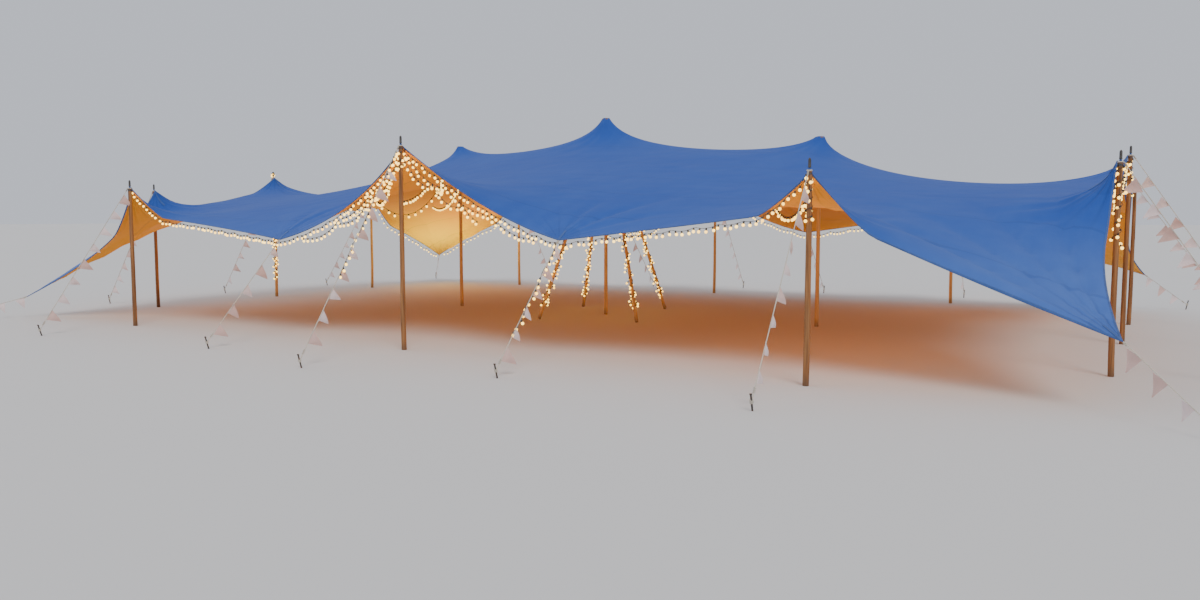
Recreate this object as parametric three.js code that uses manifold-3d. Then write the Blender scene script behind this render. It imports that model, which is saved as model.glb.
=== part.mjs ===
// A stretch tent: one tensioned sheet over wooden poles, held out by guy ropes and stakes.
// Millimetres, +Z up. X runs along the front and Y to the back. The origin is on the ground, at the centre.

import * as THREE from "three";
import { mergeVertices } from "three/addons/utils/BufferGeometryUtils.js";
import Module from "manifold-3d";

// The sheet, before its edges are drawn in between the points that hold them.
const HALF_LENGTH = 11050;
const HALF_WIDTH = 7250;
const SHEET_THICKNESS = 12;
const SCALLOP = 0.05; // how far a long edge is drawn in, as a share of the span between two held points
const END_SCALLOP = 0.02; // the same for the two ends
const SCALLOP_FADE = 3; // the drawing-in dies out towards the middle with this power
const EAR_REACH = 850; // how far along the edge a pole's tip lifts an ear
const EAR_POWER = 1.3; // how hollow the sides of an ear are
const EAR_LINE = 400; // a grid line this far to each side of an ear keeps its form
const CORNER_PULL = 280; // how far each corner is pulled out, both ways
const CORNER_START = 0.7; // the share of the half length or width from which that pull grows
const GRID_STEP = 640; // the widest cell of the sheet's grid

// Each edge lists where it is held, in order: how far along, the height that it hangs to there, how far
// a pole's tip lifts a narrow ear above that, how deep the spans beside it sag, and its guy's reach.
const FRONT = [
  { at: -HALF_LENGTH, hang: 500 },
  { name: "front_left", at: -7650, hang: 2430, ear: 550, reach: 2100 },
  { name: "front_left_low", at: -3150, hang: 1930, reach: 1700 },
  { name: "front_centre", at: 0, hang: 3600, ear: 20, sag: 230, reach: 2450 },
  { name: "front_right_low", at: 3250, hang: 2000, reach: 1700 },
  { name: "front_right", at: 7400, hang: 2480, ear: 540, reach: 2100 },
  { at: HALF_LENGTH, hang: 910 },
];
const BACK = [
  { at: -HALF_LENGTH, hang: 950 },
  { name: "back_left", at: -7600, hang: 2450, ear: 600, reach: 2100 },
  { name: "back_left_low", at: -3250, hang: 1900, reach: 1700 },
  { name: "back_centre", at: -300, hang: 3250, ear: 50, sag: 200, reach: 2450 },
  { name: "back_right_low", at: 2650, hang: 1900, reach: 1700 },
  { name: "back_right", at: 6700, hang: 2450, ear: 550, reach: 2100 },
  { at: HALF_LENGTH, hang: 900 },
];
const LEFT = [
  { at: -HALF_WIDTH, hang: 500 },
  { name: "left_front", at: -4250, hang: 2500, ear: 530, reach: 2100 },
  { at: -2100, hang: 2800 },
  { name: "left_middle", at: -300, hang: 3200, ear: 300, reach: 2300 },
  { at: 1900, hang: 2750 },
  { name: "left_back", at: 3750, hang: 2350, ear: 650, reach: 2100 },
  { at: HALF_WIDTH, hang: 950 },
];
const RIGHT = [
  { at: -HALF_WIDTH, hang: 910 },
  { name: "right_front", at: -4250, hang: 2520, ear: 660, reach: 2100 },
  { at: -2100, hang: 2850 },
  { name: "right_middle", at: 0, hang: 3140, ear: 360, reach: 2300 },
  { at: 1900, hang: 2550 },
  { name: "right_back", at: 3750, hang: 2300, ear: 700, reach: 2100 },
  { at: HALF_WIDTH, hang: 900 },
];
const CORNER_REACH = 1300;

// The peaks inside, on the tent's long middle line, and the tension that runs along it between them.
const PEAKS = [
  { name: "left", x: -4400, z: 4200 },
  { name: "centre", x: 0, z: 4720 },
  { name: "right", x: 5250, z: 4080 },
];
const PAD = 95; // half the flat patch of the sheet over a peak's cap
const RIDGE_TENSION = 5;
const RIDGE_WIDTH = 1200;
const SOLVER_STEPS = 900;
const SOLVER_DRIVE = 1.8;

// Poles, caps and the fittings on them.
const SEAT = 0.3; // the gap between pieces that touch
const POLE_FOOT = 46;
const POLE_TOP = 38;
const POLE_SIDES = 12;
const SPIKE_RADIUS = 11;
const SPIKE_HEIGHT = 190;
const SPIKE_POINT = 15;
const CAP_RADIUS = 88;
const CAP_NECK = 52;
const CAP_HEIGHT = 60;
const CAP_RIM = 14;

// The four legs that lean together round the centre pole, and the rope band that binds them.
const LEG_BEARINGS = [70, 137, 249, 320];
const LEG_SPREAD = 2000;
const LEG_GATHER = 68;
const LEG_FOOT = 40;
const LEG_TOP = 32;
const LEG_BELOW_CAP = 140;
const BAND_BELOW_LEG_TOP = 110;
const BAND_HEIGHT = 80;
const BAND_THICKNESS = 22;
const BAND_SIDES = 24;

// The cable of the string lights, which hangs under the front edge from the left pole to the right one.
const CABLE = 6;
const CABLE_DROP = 70;
const CABLE_STEPS = 80;
const CABLE_SIDES = 6;

// Guy ropes and stakes.
const ROPE = 7;
const ROPE_SIDES = 6;
const EYE_OUTER = 45;
const EYE_INNER = 14;
const EYE_HEIGHT = 22;
const EYE_SIDES = 12;
const STAKE = 13;
const STAKE_HEIGHT = 230;
const STAKE_LEAN = 0.3;
const STAKE_TIE = 120; // the height at which the rope is tied round the stake

const wood = new THREE.MeshStandardMaterial({ color: 0x9c6b3c, roughness: 0.75, metalness: 0 });
const cloth = new THREE.MeshStandardMaterial({ color: 0xd9cdb8, roughness: 0.85, metalness: 0 });
const rope = new THREE.MeshStandardMaterial({ color: 0xd8d0c0, roughness: 0.9, metalness: 0 });
const cable = new THREE.MeshStandardMaterial({ color: 0x2b2622, roughness: 0.6, metalness: 0 });
const capWood = new THREE.MeshStandardMaterial({ color: 0x6f4a2a, roughness: 0.6, metalness: 0 });

const wasm = await Module();
wasm.setup();

// Solids for joins and cuts, and back again.
function solidOf(geometry) {
  const bare = new THREE.BufferGeometry();
  bare.setAttribute("position", geometry.getAttribute("position"));
  bare.setIndex(geometry.getIndex());
  const merged = mergeVertices(bare, 1e-3);
  const mesh = new wasm.Mesh({
    numProp: 3,
    vertProperties: merged.attributes.position.array,
    triVerts: new Uint32Array(merged.index.array),
  });
  return new wasm.Manifold(mesh);
}

function geometryOf(solid) {
  const { vertProperties, triVerts } = solid.getMesh();
  const geometry = new THREE.BufferGeometry();
  geometry.setAttribute("position", new THREE.BufferAttribute(vertProperties, 3));
  geometry.setIndex(new THREE.BufferAttribute(triVerts, 1));
  return geometry;
}

function join(first, ...others) {
  return geometryOf(others.reduce((whole, next) => whole.add(solidOf(next)), solidOf(first)));
}

// A round bar between two points.
function bar(from, to, startRadius, endRadius, sides) {
  const along = to.clone().sub(from);
  const geometry = new THREE.CylinderGeometry(endRadius, startRadius, along.length(), sides);
  geometry.translate(0, along.length() / 2, 0);
  const turn = new THREE.Quaternion().setFromUnitVectors(new THREE.Vector3(0, 1, 0), along.normalize());
  geometry.applyQuaternion(turn);
  return geometry.translate(from.x, from.y, from.z);
}

// A turned shape about the Z axis, from [radius, height] points.
function turned(profile, sides) {
  const points = profile.map(([radius, height]) => new THREE.Vector2(radius, height));
  return new THREE.LatheGeometry(points, sides).rotateX(Math.PI / 2);
}

function named(name, geometry, material) {
  const mesh = new THREE.Mesh(geometry, material);
  mesh.name = name;
  return mesh;
}

// The span of an edge that a place lies on, and how far along it, from 0 to 1.
function spanAt(edge, at) {
  const last = Math.max(1, edge.findIndex((held) => at <= held.at));
  const [a, b] = [edge[last - 1], edge[last]];
  return { a, b, share: (at - a.at) / (b.at - a.at) };
}

// The height of an edge, and how far it is drawn in, at a place along it.
function edgeHeight(edge, at) {
  const { a, b, share } = spanAt(edge, at);
  const straight = a.hang + (b.hang - a.hang) * share;
  const sag = Math.max(a.sag ?? 0, b.sag ?? 0) * 4 * share * (1 - share);
  const lift = (held) => (held.ear ?? 0) * Math.max(0, 1 - Math.abs(at - held.at) / EAR_REACH) ** EAR_POWER;
  return straight - sag + lift(a) + lift(b);
}

function edgeInset(edge, at, scallop) {
  const { a, b, share } = spanAt(edge, at);
  return scallop * (b.at - a.at) * 4 * share * (1 - share);
}

// Grid lines through every place that must be on the grid, with even steps between them.
function gridLines(places) {
  const fixed = [...new Set(places)].sort((p, q) => p - q);
  const lines = [fixed[0]];
  for (const next of fixed.slice(1)) {
    const start = lines.at(-1);
    const cells = Math.ceil((next - start) / GRID_STEP);
    for (let k = 1; k <= cells; k++) lines.push(start + ((next - start) * k) / cells);
  }
  return lines;
}

const onPad = (x, y) => PEAKS.find((peak) => Math.abs(x - peak.x) <= PAD && Math.abs(y) <= PAD);

// How strongly the sheet pulls along X: more in a band along the ridge between the outer peaks.
function ridgePull(x, y) {
  const between = x >= PEAKS[0].x && x <= PEAKS.at(-1).x;
  return between ? 1 + RIDGE_TENSION * Math.exp(-((y / RIDGE_WIDTH) ** 2)) : 1;
}

// The sheet's heights: each free grid point settles where the pulls of its four neighbours balance.
function settle(xs, ys) {
  const z = xs.map((x) => ys.map((y) => onPad(x, y)?.z ?? 3000));
  xs.forEach((x, i) => {
    z[i][0] = edgeHeight(FRONT, x);
    z[i][ys.length - 1] = edgeHeight(BACK, x);
  });
  ys.forEach((y, j) => {
    z[0][j] = edgeHeight(LEFT, y);
    z[xs.length - 1][j] = edgeHeight(RIGHT, y);
  });
  for (let step = 0; step < SOLVER_STEPS; step++) {
    for (let i = 1; i < xs.length - 1; i++) {
      for (let j = 1; j < ys.length - 1; j++) {
        if (onPad(xs[i], ys[j])) continue;
        const [west, east] = [xs[i] - xs[i - 1], xs[i + 1] - xs[i]];
        const [south, north] = [ys[j] - ys[j - 1], ys[j + 1] - ys[j]];
        const [deep, wide] = [(south + north) / 2, (west + east) / 2];
        const pullWest = (ridgePull((xs[i] + xs[i - 1]) / 2, ys[j]) * deep) / west;
        const pullEast = (ridgePull((xs[i] + xs[i + 1]) / 2, ys[j]) * deep) / east;
        const [pullSouth, pullNorth] = [wide / south, wide / north];
        const pulls = pullWest + pullEast + pullSouth + pullNorth;
        const alongX = pullWest * z[i - 1][j] + pullEast * z[i + 1][j];
        const alongY = pullSouth * z[i][j - 1] + pullNorth * z[i][j + 1];
        z[i][j] += SOLVER_DRIVE * ((alongX + alongY) / pulls - z[i][j]);
      }
    }
  }
  return z;
}

// A grid point in plan, with the edges drawn in between the points that hold them and the corners pulled out.
function planPoint(x, y) {
  const end = x < 0 ? LEFT : RIGHT;
  const side = y < 0 ? FRONT : BACK;
  const [farX, farY] = [Math.abs(x / HALF_LENGTH), Math.abs(y / HALF_WIDTH)];
  const grown = (far) => Math.max(0, (far - CORNER_START) / (1 - CORNER_START));
  const pull = CORNER_PULL * (grown(farX) * grown(farY)) ** 2;
  const outX = pull - edgeInset(end, y, END_SCALLOP) * farX ** SCALLOP_FADE;
  const outY = pull - edgeInset(side, x, SCALLOP) * farY ** SCALLOP_FADE;
  return [x + Math.sign(x) * outX, y + Math.sign(y) * outY];
}

// Grid lines through every held point and beside every tall ear of two facing edges.
function heldLines(...edges) {
  const held = edges.flat().map((each) => each.at);
  const tall = edges.flat().filter((each) => each.ear > EAR_LINE);
  const beside = tall.flatMap((each) => [each.at - EAR_LINE, each.at + EAR_LINE]);
  const clear = beside.filter((at) => held.every((other) => Math.abs(other - at) >= EAR_LINE / 2));
  return [...held, ...clear];
}

// The sheet's grid lines across X, through every held point and the edges of every pad.
function linesAcross() {
  const pads = PEAKS.flatMap((peak) => [peak.x - PAD, peak.x, peak.x + PAD]);
  return gridLines([...heldLines(FRONT, BACK), ...pads]);
}

// The sheet as a closed solid: a top and an underside on one grid, and a rim round them.
function canopy() {
  const xs = linesAcross();
  const ys = gridLines([...heldLines(LEFT, RIGHT), -PAD, 0, PAD]);
  const z = settle(xs, ys);
  const positions = [];
  for (const side of [SHEET_THICKNESS / 2, -SHEET_THICKNESS / 2]) {
    xs.forEach((x, i) => ys.forEach((y, j) => positions.push(...planPoint(x, y), z[i][j] + side)));
  }
  const under = xs.length * ys.length;
  const index = (i, j) => i * ys.length + j;
  const faces = [];
  const quad = (a, b, c, d) => faces.push(a, b, c, a, c, d);
  for (let i = 0; i < xs.length - 1; i++) {
    for (let j = 0; j < ys.length - 1; j++) {
      const [a, b, c, d] = [index(i, j), index(i + 1, j), index(i + 1, j + 1), index(i, j + 1)];
      quad(a, b, c, d);
      quad(d + under, c + under, b + under, a + under);
    }
  }
  const rim = [
    ...xs.map((_, i) => index(i, 0)),
    ...ys.slice(1).map((_, j) => index(xs.length - 1, j + 1)),
    ...xs.slice(1).map((_, i) => index(xs.length - 2 - i, ys.length - 1)),
    ...ys.slice(1, -1).map((_, j) => index(0, ys.length - 2 - j)),
  ];
  rim.forEach((a, k) => {
    const b = rim[(k + 1) % rim.length];
    quad(a + under, b + under, b, a);
  });
  const geometry = new THREE.BufferGeometry();
  geometry.setAttribute("position", new THREE.Float32BufferAttribute(positions, 3));
  geometry.setIndex(faces);
  return named("canopy", geometry, cloth);
}

// A perimeter pole: a shaft with a shoulder, and a spike that the guy's eye drops over.
function edgePole(name, tipHeight) {
  const shoulder = tipHeight - EYE_HEIGHT / 2 - SEAT;
  const top = shoulder + SPIKE_HEIGHT;
  const profile = [
    [0, 0],
    [POLE_FOOT, 0],
    [POLE_TOP, shoulder],
    [SPIKE_RADIUS, shoulder],
    [SPIKE_RADIUS, top - SPIKE_POINT],
    [0, top],
  ];
  return named(`${name}_pole`, turned(profile, POLE_SIDES), wood);
}

// A stake that leans away from the tent, with its foot cut flat on the ground.
function stake(reach) {
  const geometry = new THREE.CylinderGeometry(STAKE, STAKE, STAKE_HEIGHT, 8);
  geometry.rotateX(Math.PI / 2).translate(0, 0, STAKE_HEIGHT / 2);
  const lean = new THREE.Matrix4().makeShear(0, 0, 0, 0, STAKE_LEAN, 0);
  return geometry.applyMatrix4(lean).translate(reach, 0, 0);
}

// A guy along +X from the tip of the sheet at the origin: its rope, its stake and, on a pole, its eye.
function guy(name, tipHeight, reach, onPole) {
  const tie = new THREE.Vector3(reach + STAKE_LEAN * STAKE_TIE, 0, STAKE_TIE);
  if (onPole) {
    const middle = EYE_OUTER + SEAT;
    const half = EYE_HEIGHT / 2;
    const section = [
      [EYE_INNER, -half],
      [EYE_OUTER, -half],
      [EYE_OUTER, half],
      [EYE_INNER, half],
      [EYE_INNER, -half],
    ];
    const eye = turned(section, EYE_SIDES).translate(middle, 0, tipHeight);
    const start = new THREE.Vector3(middle + EYE_OUTER - ROPE / 2, 0, tipHeight);
    return named(`${name}_guy`, join(eye, bar(start, tie, ROPE, ROPE, ROPE_SIDES), stake(reach)), rope);
  }
  const tip = new THREE.Vector3(0, 0, tipHeight);
  const away = tie.clone().sub(tip).normalize();
  const start = tip.addScaledVector(away, (SHEET_THICKNESS / 2) * Math.abs(away.z) + SEAT);
  return named(`${name}_guy`, join(bar(start, tie, ROPE, ROPE, ROPE_SIDES), stake(reach)), rope);
}

// One held point of an edge: its guy, and its pole if the edge has an ear there.
function heldPoint(held, x, y, bearing, height) {
  const group = new THREE.Group();
  group.position.set(x, y, 0);
  group.rotation.z = bearing;
  group.add(guy(held.name, height, held.reach, Boolean(held.ear)));
  if (held.ear) {
    const pole = edgePole(held.name, height);
    pole.position.x = EYE_OUTER + SEAT;
    group.add(pole);
  }
  return group;
}

function edgeSupports() {
  const group = new THREE.Group();
  const edges = [
    { edge: FRONT, place: (at) => [at, -HALF_WIDTH], bearing: -Math.PI / 2 },
    { edge: BACK, place: (at) => [at, HALF_WIDTH], bearing: Math.PI / 2 },
    { edge: LEFT, place: (at) => [-HALF_LENGTH, at], bearing: Math.PI },
    { edge: RIGHT, place: (at) => [HALF_LENGTH, at], bearing: 0 },
  ];
  for (const { edge, place, bearing } of edges) {
    for (const held of edge.filter((each) => each.name)) {
      group.add(heldPoint(held, ...place(held.at), bearing, edgeHeight(edge, held.at)));
    }
  }
  const corners = [
    { name: "front_left_corner", x: -1, y: -1, height: FRONT[0].hang },
    { name: "front_right_corner", x: 1, y: -1, height: FRONT.at(-1).hang },
    { name: "back_left_corner", x: -1, y: 1, height: BACK[0].hang },
    { name: "back_right_corner", x: 1, y: 1, height: BACK.at(-1).hang },
  ];
  for (const { name, x, y, height } of corners) {
    const tip = planPoint(x * HALF_LENGTH, y * HALF_WIDTH);
    group.add(heldPoint({ name, reach: CORNER_REACH }, ...tip, Math.atan2(y, x), height));
  }
  return group;
}

const capTop = (peak) => peak.z - SHEET_THICKNESS / 2 - SEAT;
const poleTop = (peak) => capTop(peak) - CAP_HEIGHT - SEAT;

// A plain round pole under a peak, made thicker by extra all round.
function shaft(peak, extra) {
  const profile = [
    [0, 0],
    [POLE_FOOT + extra, 0],
    [POLE_TOP + extra, poleTop(peak)],
    [0, poleTop(peak)],
  ];
  return turned(profile, POLE_SIDES);
}

// A peak inside: the pole and the round wooden cap that the sheet lies on.
function insidePeak(peak) {
  const group = new THREE.Group();
  group.position.x = peak.x;
  const cap = [
    [0, 0],
    [CAP_NECK, 0],
    [CAP_RADIUS, CAP_HEIGHT - 2 * CAP_RIM],
    [CAP_RADIUS, CAP_HEIGHT - CAP_RIM],
    [CAP_RADIUS - CAP_RIM, CAP_HEIGHT],
    [0, CAP_HEIGHT],
  ];
  const capMesh = named(`${peak.name}_peak_cap`, turned(cap, 2 * POLE_SIDES), capWood);
  capMesh.position.z = capTop(peak) - CAP_HEIGHT;
  group.add(named(`${peak.name}_peak_pole`, shaft(peak, 0), wood), capMesh);
  return group;
}

// A leaning leg, cut flat at the foot and at the top, and hollowed where it meets the centre pole.
function legSolid(bearing, extra) {
  const top = poleTop(PEAKS[1]) - LEG_BELOW_CAP;
  const out = new THREE.Vector3(Math.cos(bearing), Math.sin(bearing), 0);
  const slope = (LEG_SPREAD - LEG_GATHER) / top;
  const foot = out.clone().multiplyScalar(LEG_SPREAD + slope * LEG_SPREAD * 0.1).setZ(-LEG_SPREAD * 0.1);
  const head = out.clone().multiplyScalar(LEG_GATHER - slope * LEG_SPREAD * 0.1).setZ(top + LEG_SPREAD * 0.1);
  const long = solidOf(bar(foot, head, LEG_FOOT + extra, LEG_TOP + extra, POLE_SIDES));
  const room = new THREE.BoxGeometry(3 * LEG_SPREAD, 3 * LEG_SPREAD, top).translate(0, 0, top / 2);
  return long.intersect(solidOf(room));
}

function leaningLegs() {
  const group = new THREE.Group();
  const bearings = LEG_BEARINGS.map((degrees) => THREE.MathUtils.degToRad(degrees));
  const pole = solidOf(shaft(PEAKS[1], 2 * SEAT));
  bearings.forEach((bearing, k) => {
    group.add(named(`centre_leg_${k + 1}`, geometryOf(legSolid(bearing, 0).subtract(pole)), wood));
  });
  group.add(legBand(bearings));
  return group;
}

// A band of rope bound round the four legs, dished to their slope.
function legBand(bearings) {
  const legTop = poleTop(PEAKS[1]) - LEG_BELOW_CAP;
  const slope = (LEG_SPREAD - LEG_GATHER) / legTop;
  const high = legTop - BAND_BELOW_LEG_TOP;
  const low = high - BAND_HEIGHT;
  const inside = (height) => LEG_GATHER + slope * (legTop - height) + LEG_TOP;
  const section = [
    [inside(low), low],
    [inside(low) + BAND_THICKNESS, low],
    [inside(high) + BAND_THICKNESS, high],
    [inside(high), high],
    [inside(low), low],
  ];
  const ring = solidOf(turned(section, BAND_SIDES));
  const cut = bearings.reduce((band, bearing) => band.subtract(legSolid(bearing, SEAT)), ring);
  return named("leg_band", geometryOf(cut), rope);
}

// The light cable follows the front edge, from one outer pole to the other, and passes against each pole.
function frontLightCable() {
  const poles = FRONT.filter((held) => held.ear);
  const [first, last] = [poles[0].at, poles.at(-1).at];
  const places = linesAcross().filter((x) => x >= first && x <= last);
  const poleThere = POLE_TOP + ((POLE_FOOT - POLE_TOP) * CABLE_DROP) / edgeHeight(FRONT, first);
  const out = EYE_OUTER - CABLE - poleThere;
  const hung = places.map((place) => {
    const [x, y] = planPoint(place, -HALF_WIDTH);
    return new THREE.Vector3(x, y - out, edgeHeight(FRONT, place) - CABLE_DROP);
  });
  const route = new THREE.CurvePath();
  hung.slice(1).forEach((point, k) => route.add(new THREE.LineCurve3(hung[k], point)));
  const section = new THREE.Shape();
  for (let k = 0; k < CABLE_SIDES; k++) {
    const turn = (2 * Math.PI * k) / CABLE_SIDES;
    section[k ? "lineTo" : "moveTo"](CABLE * Math.cos(turn), CABLE * Math.sin(turn));
  }
  const tube = new THREE.ExtrudeGeometry(section, { steps: CABLE_STEPS, extrudePath: route });
  return named("front_light_cable", tube, cable);
}

const tent = new THREE.Group();
tent.add(canopy(), edgeSupports(), leaningLegs(), frontLightCable());
for (const peak of PEAKS) tent.add(insidePeak(peak));

export default tent;
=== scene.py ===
import math
from collections import namedtuple
from functools import partialmethod

import bpy
import numpy as np
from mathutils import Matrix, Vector


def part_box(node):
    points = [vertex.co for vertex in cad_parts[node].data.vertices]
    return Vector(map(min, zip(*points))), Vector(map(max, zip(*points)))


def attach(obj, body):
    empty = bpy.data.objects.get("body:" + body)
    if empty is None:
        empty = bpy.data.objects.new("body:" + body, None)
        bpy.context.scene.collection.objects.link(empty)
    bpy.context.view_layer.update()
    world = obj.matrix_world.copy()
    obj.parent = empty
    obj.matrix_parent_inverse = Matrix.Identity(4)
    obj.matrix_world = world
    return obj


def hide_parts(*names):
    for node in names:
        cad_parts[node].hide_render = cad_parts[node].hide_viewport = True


bl_info = {
    "name": "Stretch Tent",
    "version": (1, 0, 0),
    "blender": (4, 5, 0),
    "location": "3D View > Sidebar > Stretch Tent",
    "description": "Dresses a stretch tent: its cloth, poles, ropes, bunting and string lights",
    "category": "Add Mesh",
}

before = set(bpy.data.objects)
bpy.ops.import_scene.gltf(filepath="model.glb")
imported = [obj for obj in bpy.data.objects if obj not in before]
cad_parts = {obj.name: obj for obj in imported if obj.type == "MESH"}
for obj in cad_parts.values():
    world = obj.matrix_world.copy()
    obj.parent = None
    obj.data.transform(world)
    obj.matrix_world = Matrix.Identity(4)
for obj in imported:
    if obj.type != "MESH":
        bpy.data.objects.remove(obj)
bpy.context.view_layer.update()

# Where each edge of the sheet is held, in metres: how far along, the height that it hangs to there, how far
# a pole's tip lifts a narrow ear above that, how deep the spans beside it sag, and its guy's reach.
Held = namedtuple("Held", "at hang ear sag reach name", defaults=(0, 0, 0, ""))
HALF_LENGTH = 11.05
HALF_WIDTH = 7.25
FRONT = [
    Held(-HALF_LENGTH, 0.5),
    Held(-7.65, 2.43, 0.55, 0, 2.1, "front_left"),
    Held(-3.15, 1.93, 0, 0, 1.7, "front_left_low"),
    Held(0, 3.6, 0.02, 0.23, 2.45, "front_centre"),
    Held(3.25, 2.0, 0, 0, 1.7, "front_right_low"),
    Held(7.4, 2.48, 0.54, 0, 2.1, "front_right"),
    Held(HALF_LENGTH, 0.91),
]
BACK = [
    Held(-HALF_LENGTH, 0.95),
    Held(-7.6, 2.45, 0.6, 0, 2.1, "back_left"),
    Held(-3.25, 1.9, 0, 0, 1.7, "back_left_low"),
    Held(-0.3, 3.25, 0.05, 0.2, 2.45, "back_centre"),
    Held(2.65, 1.9, 0, 0, 1.7, "back_right_low"),
    Held(6.7, 2.45, 0.55, 0, 2.1, "back_right"),
    Held(HALF_LENGTH, 0.9),
]
LEFT = [
    Held(-HALF_WIDTH, 0.5),
    Held(-4.25, 2.5, 0.53, 0, 2.1, "left_front"),
    Held(-2.1, 2.8),
    Held(-0.3, 3.2, 0.3, 0, 2.3, "left_middle"),
    Held(1.9, 2.75),
    Held(3.75, 2.35, 0.65, 0, 2.1, "left_back"),
    Held(HALF_WIDTH, 0.95),
]
RIGHT = [
    Held(-HALF_WIDTH, 0.91),
    Held(-4.25, 2.52, 0.66, 0, 2.1, "right_front"),
    Held(-2.1, 2.85),
    Held(0, 3.14, 0.36, 0, 2.3, "right_middle"),
    Held(1.9, 2.55),
    Held(3.75, 2.3, 0.7, 0, 2.1, "right_back"),
    Held(HALF_WIDTH, 0.9),
]
# The edges with the way out from the tent, and the corners with theirs.
EDGES = ((FRONT, (0, -1)), (BACK, (0, 1)), (LEFT, (-1, 0)), (RIGHT, (1, 0)))
CORNERS = (("front_left", -1, -1, FRONT[0]), ("front_right", 1, -1, FRONT[-1]),
           ("back_left", -1, 1, BACK[0]), ("back_right", 1, 1, BACK[-1]))
CORNER_REACH = 1.3
# Each span is drawn in by a share of its length, and less so further in. An ear reaches so far each way along
# the edge, with a slope that is a power. The corners are pulled out, from a share of the way to them.
SCALLOP = 0.05
END_SCALLOP = 0.02
SCALLOP_FADE = 3
EAR_REACH = 0.85
EAR_POWER = 1.3
CORNER_PULL = 0.28
CORNER_START = 0.7

# The inner peaks on the long middle line, and the extra pull along the ridge between them.
PEAKS = {"left": (-4.4, 4.2), "centre": (0, 4.72), "right": (5.25, 4.08)}
PAD = 0.095
DOME = 0.9
RIDGE_TENSION = 5
RIDGE_WIDTH = 1.2

# The tension folds: how far in they are tallest, how tall, how many, and how clearly the finish shows them,
# in bump and in the painted shade of their valleys.
CORNER_FOLDS = (1.45, 0.05, 19, 1)
EAR_FOLDS = (0.7, 0.020, 13, 0.75)
LOW_FOLDS = (0.8, 0.024, 12, 0.4)
FOLD_REACH = 1.45
# How tall and how many they are round a peak.
PEAK_FOLDS = (0.016, 12)

# Sizes that the solids give.
UNDERSIDE = 0.006
SEAT = 0.0003
POLE_RADII = (0.046, 0.038)
SPIKE_HEIGHT = 0.19
EYE_OUTER = 0.045
EYE_BITE = 0.0035
LEG_BEARINGS = (70, 137, 249, 320)
LEG_SPREAD = 2.0
LEG_GATHER = 0.068
LEG_RADII = (0.040, 0.032)
STAKE_LEAN = 0.3
STAKE_TIE = 0.12
CAP_HEIGHT = 0.06
CAP_TOP = {name: z - UNDERSIDE - SEAT for name, (_, z) in PEAKS.items()}
LEG_TOP = CAP_TOP["centre"] - CAP_HEIGHT - SEAT - 0.14

# Small trim: [radius, height] profiles from the bottom up, and a stitch's path.
PIN = [(0.0205, -0.010), (0.0205, 0.002), (0.0125, 0.004), (0.011, 0.006), (0.011, 0.172), (0.0095, 0.178),
       (0.004, 0.187), (0.001, 0.1895)]
COLLAR = [(0.0370, -0.052), (0.0395, -0.050), (0.0395, -0.014), (0.0370, -0.012)]
SLEEVE = [(0.0135, 0.050), (0.0225, 0.051), (0.0240, 0.054), (0.0240, 0.060), (0.0215, 0.064),
          (0.0205, 0.150), (0.0190, 0.166), (0.0150, 0.176), (0.0105, 0.179)]
CAP = [(0.001, 0), (0.048, 0), (0.051, 0.003), (0.054, 0.006), (0.062, 0.010), (0.082, 0.022),
       (0.0865, 0.0255), (0.088, 0.030), (0.088, 0.036), (0.086, 0.042), (0.081, 0.0485)]
CAP += [(r, 0.0592 - DOME * r * r) for r in (0.072, 0.055, 0.035, 0.015, 0.001)]
STAKE_RADIUS = 0.013
STAKE = [(0.0125, 0.0), (STAKE_RADIUS, 0.004), (STAKE_RADIUS, 0.205), (0.0165, 0.213), (0.0185, 0.220),
         (0.0175, 0.2275), (0.012, 0.2298)]
LOOP = [(0.0165, 0.013), (0.0195, 0.013), (0.0195, 0.034), (0.0165, 0.034)]
HOLDER = [(0.0135, -0.034), (0.0135, -0.006), (0.009, 0.004), (0.002, 0.006)]
STITCH = [(-0.013, 0, 0), (-0.008, 0, 0.0012), (0.008, 0, 0.0012), (0.013, 0, 0)]
BULB_DROP = 0.030
CABLE_RADIUS = 0.004
# Straps: how far in they run from an ear and from the other points, half their width, the faces of the one
# above the sheet and the one below it, and the band over the spike: half its width and its thickness.
EAR_STRAP = 0.36
LOW_STRAP = 0.22
STRAP_HALF = 0.02
STRAP_FACES = ((0.006, 0.0005), (-0.0065, -0.012))
BAND_HALF = 0.0095
BAND_THICK = 0.0016
# Poles: from ring to ring, knots in each metre, how long a knot is and how far it swells, and the first seed
# of the poles round the edge, of those under the peaks and of the legs.
RING_PITCH = 0.055
KNOTS_PER_METRE = 2.2
KNOT_LENGTH = 0.035
KNOT_SWELL = 0.055
EDGE_SEED, PEAK_SEED, LEG_SEED = 3, 31, 51
# The legs: how far they bow, the radius of their lashing's rope and its turns, and for the loops beside each
# leg the radius, half the width and height, how far beside it they lie and their shifts in height.
LEG_BOW = 0.010
LASHING_RADIUS = 0.0095
LASHING_TURNS = 4.5
LOOP_RADIUS = 0.007
LOOP_WIDE, LOOP_TALL, LOOP_ASIDE = 0.020, 0.046, 0.048
LOOP_SHIFTS = (-0.016, 0.0, 0.016)
# The hem: its two faces, each at the edge and at its inner line, how far its fold bulges out, and where its
# stitches lie: how far in, as a share of its width, and how high on each face.
HEM_TOP = (0.003, 0.0022)
HEM_LOW = (-0.009, -0.0082)
HEM_BULGE = 0.004
STITCH_INSET = 0.7
STITCH_LIFTS = (0.0032, -0.0092)
# Cord wound round a guy: from where to where along it, the cord's radius, its turns, points a turn and sides.
EYE_WINDING = (0.012, 0.085, 0.0035, 7, 12, 6)
END_WINDING = (0.012, 0.06, 0.006, 2.5, 14, 7)
STAKE_WINDING = (-0.20, -0.12, 0.0055, 3.5, 14, 7)
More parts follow.
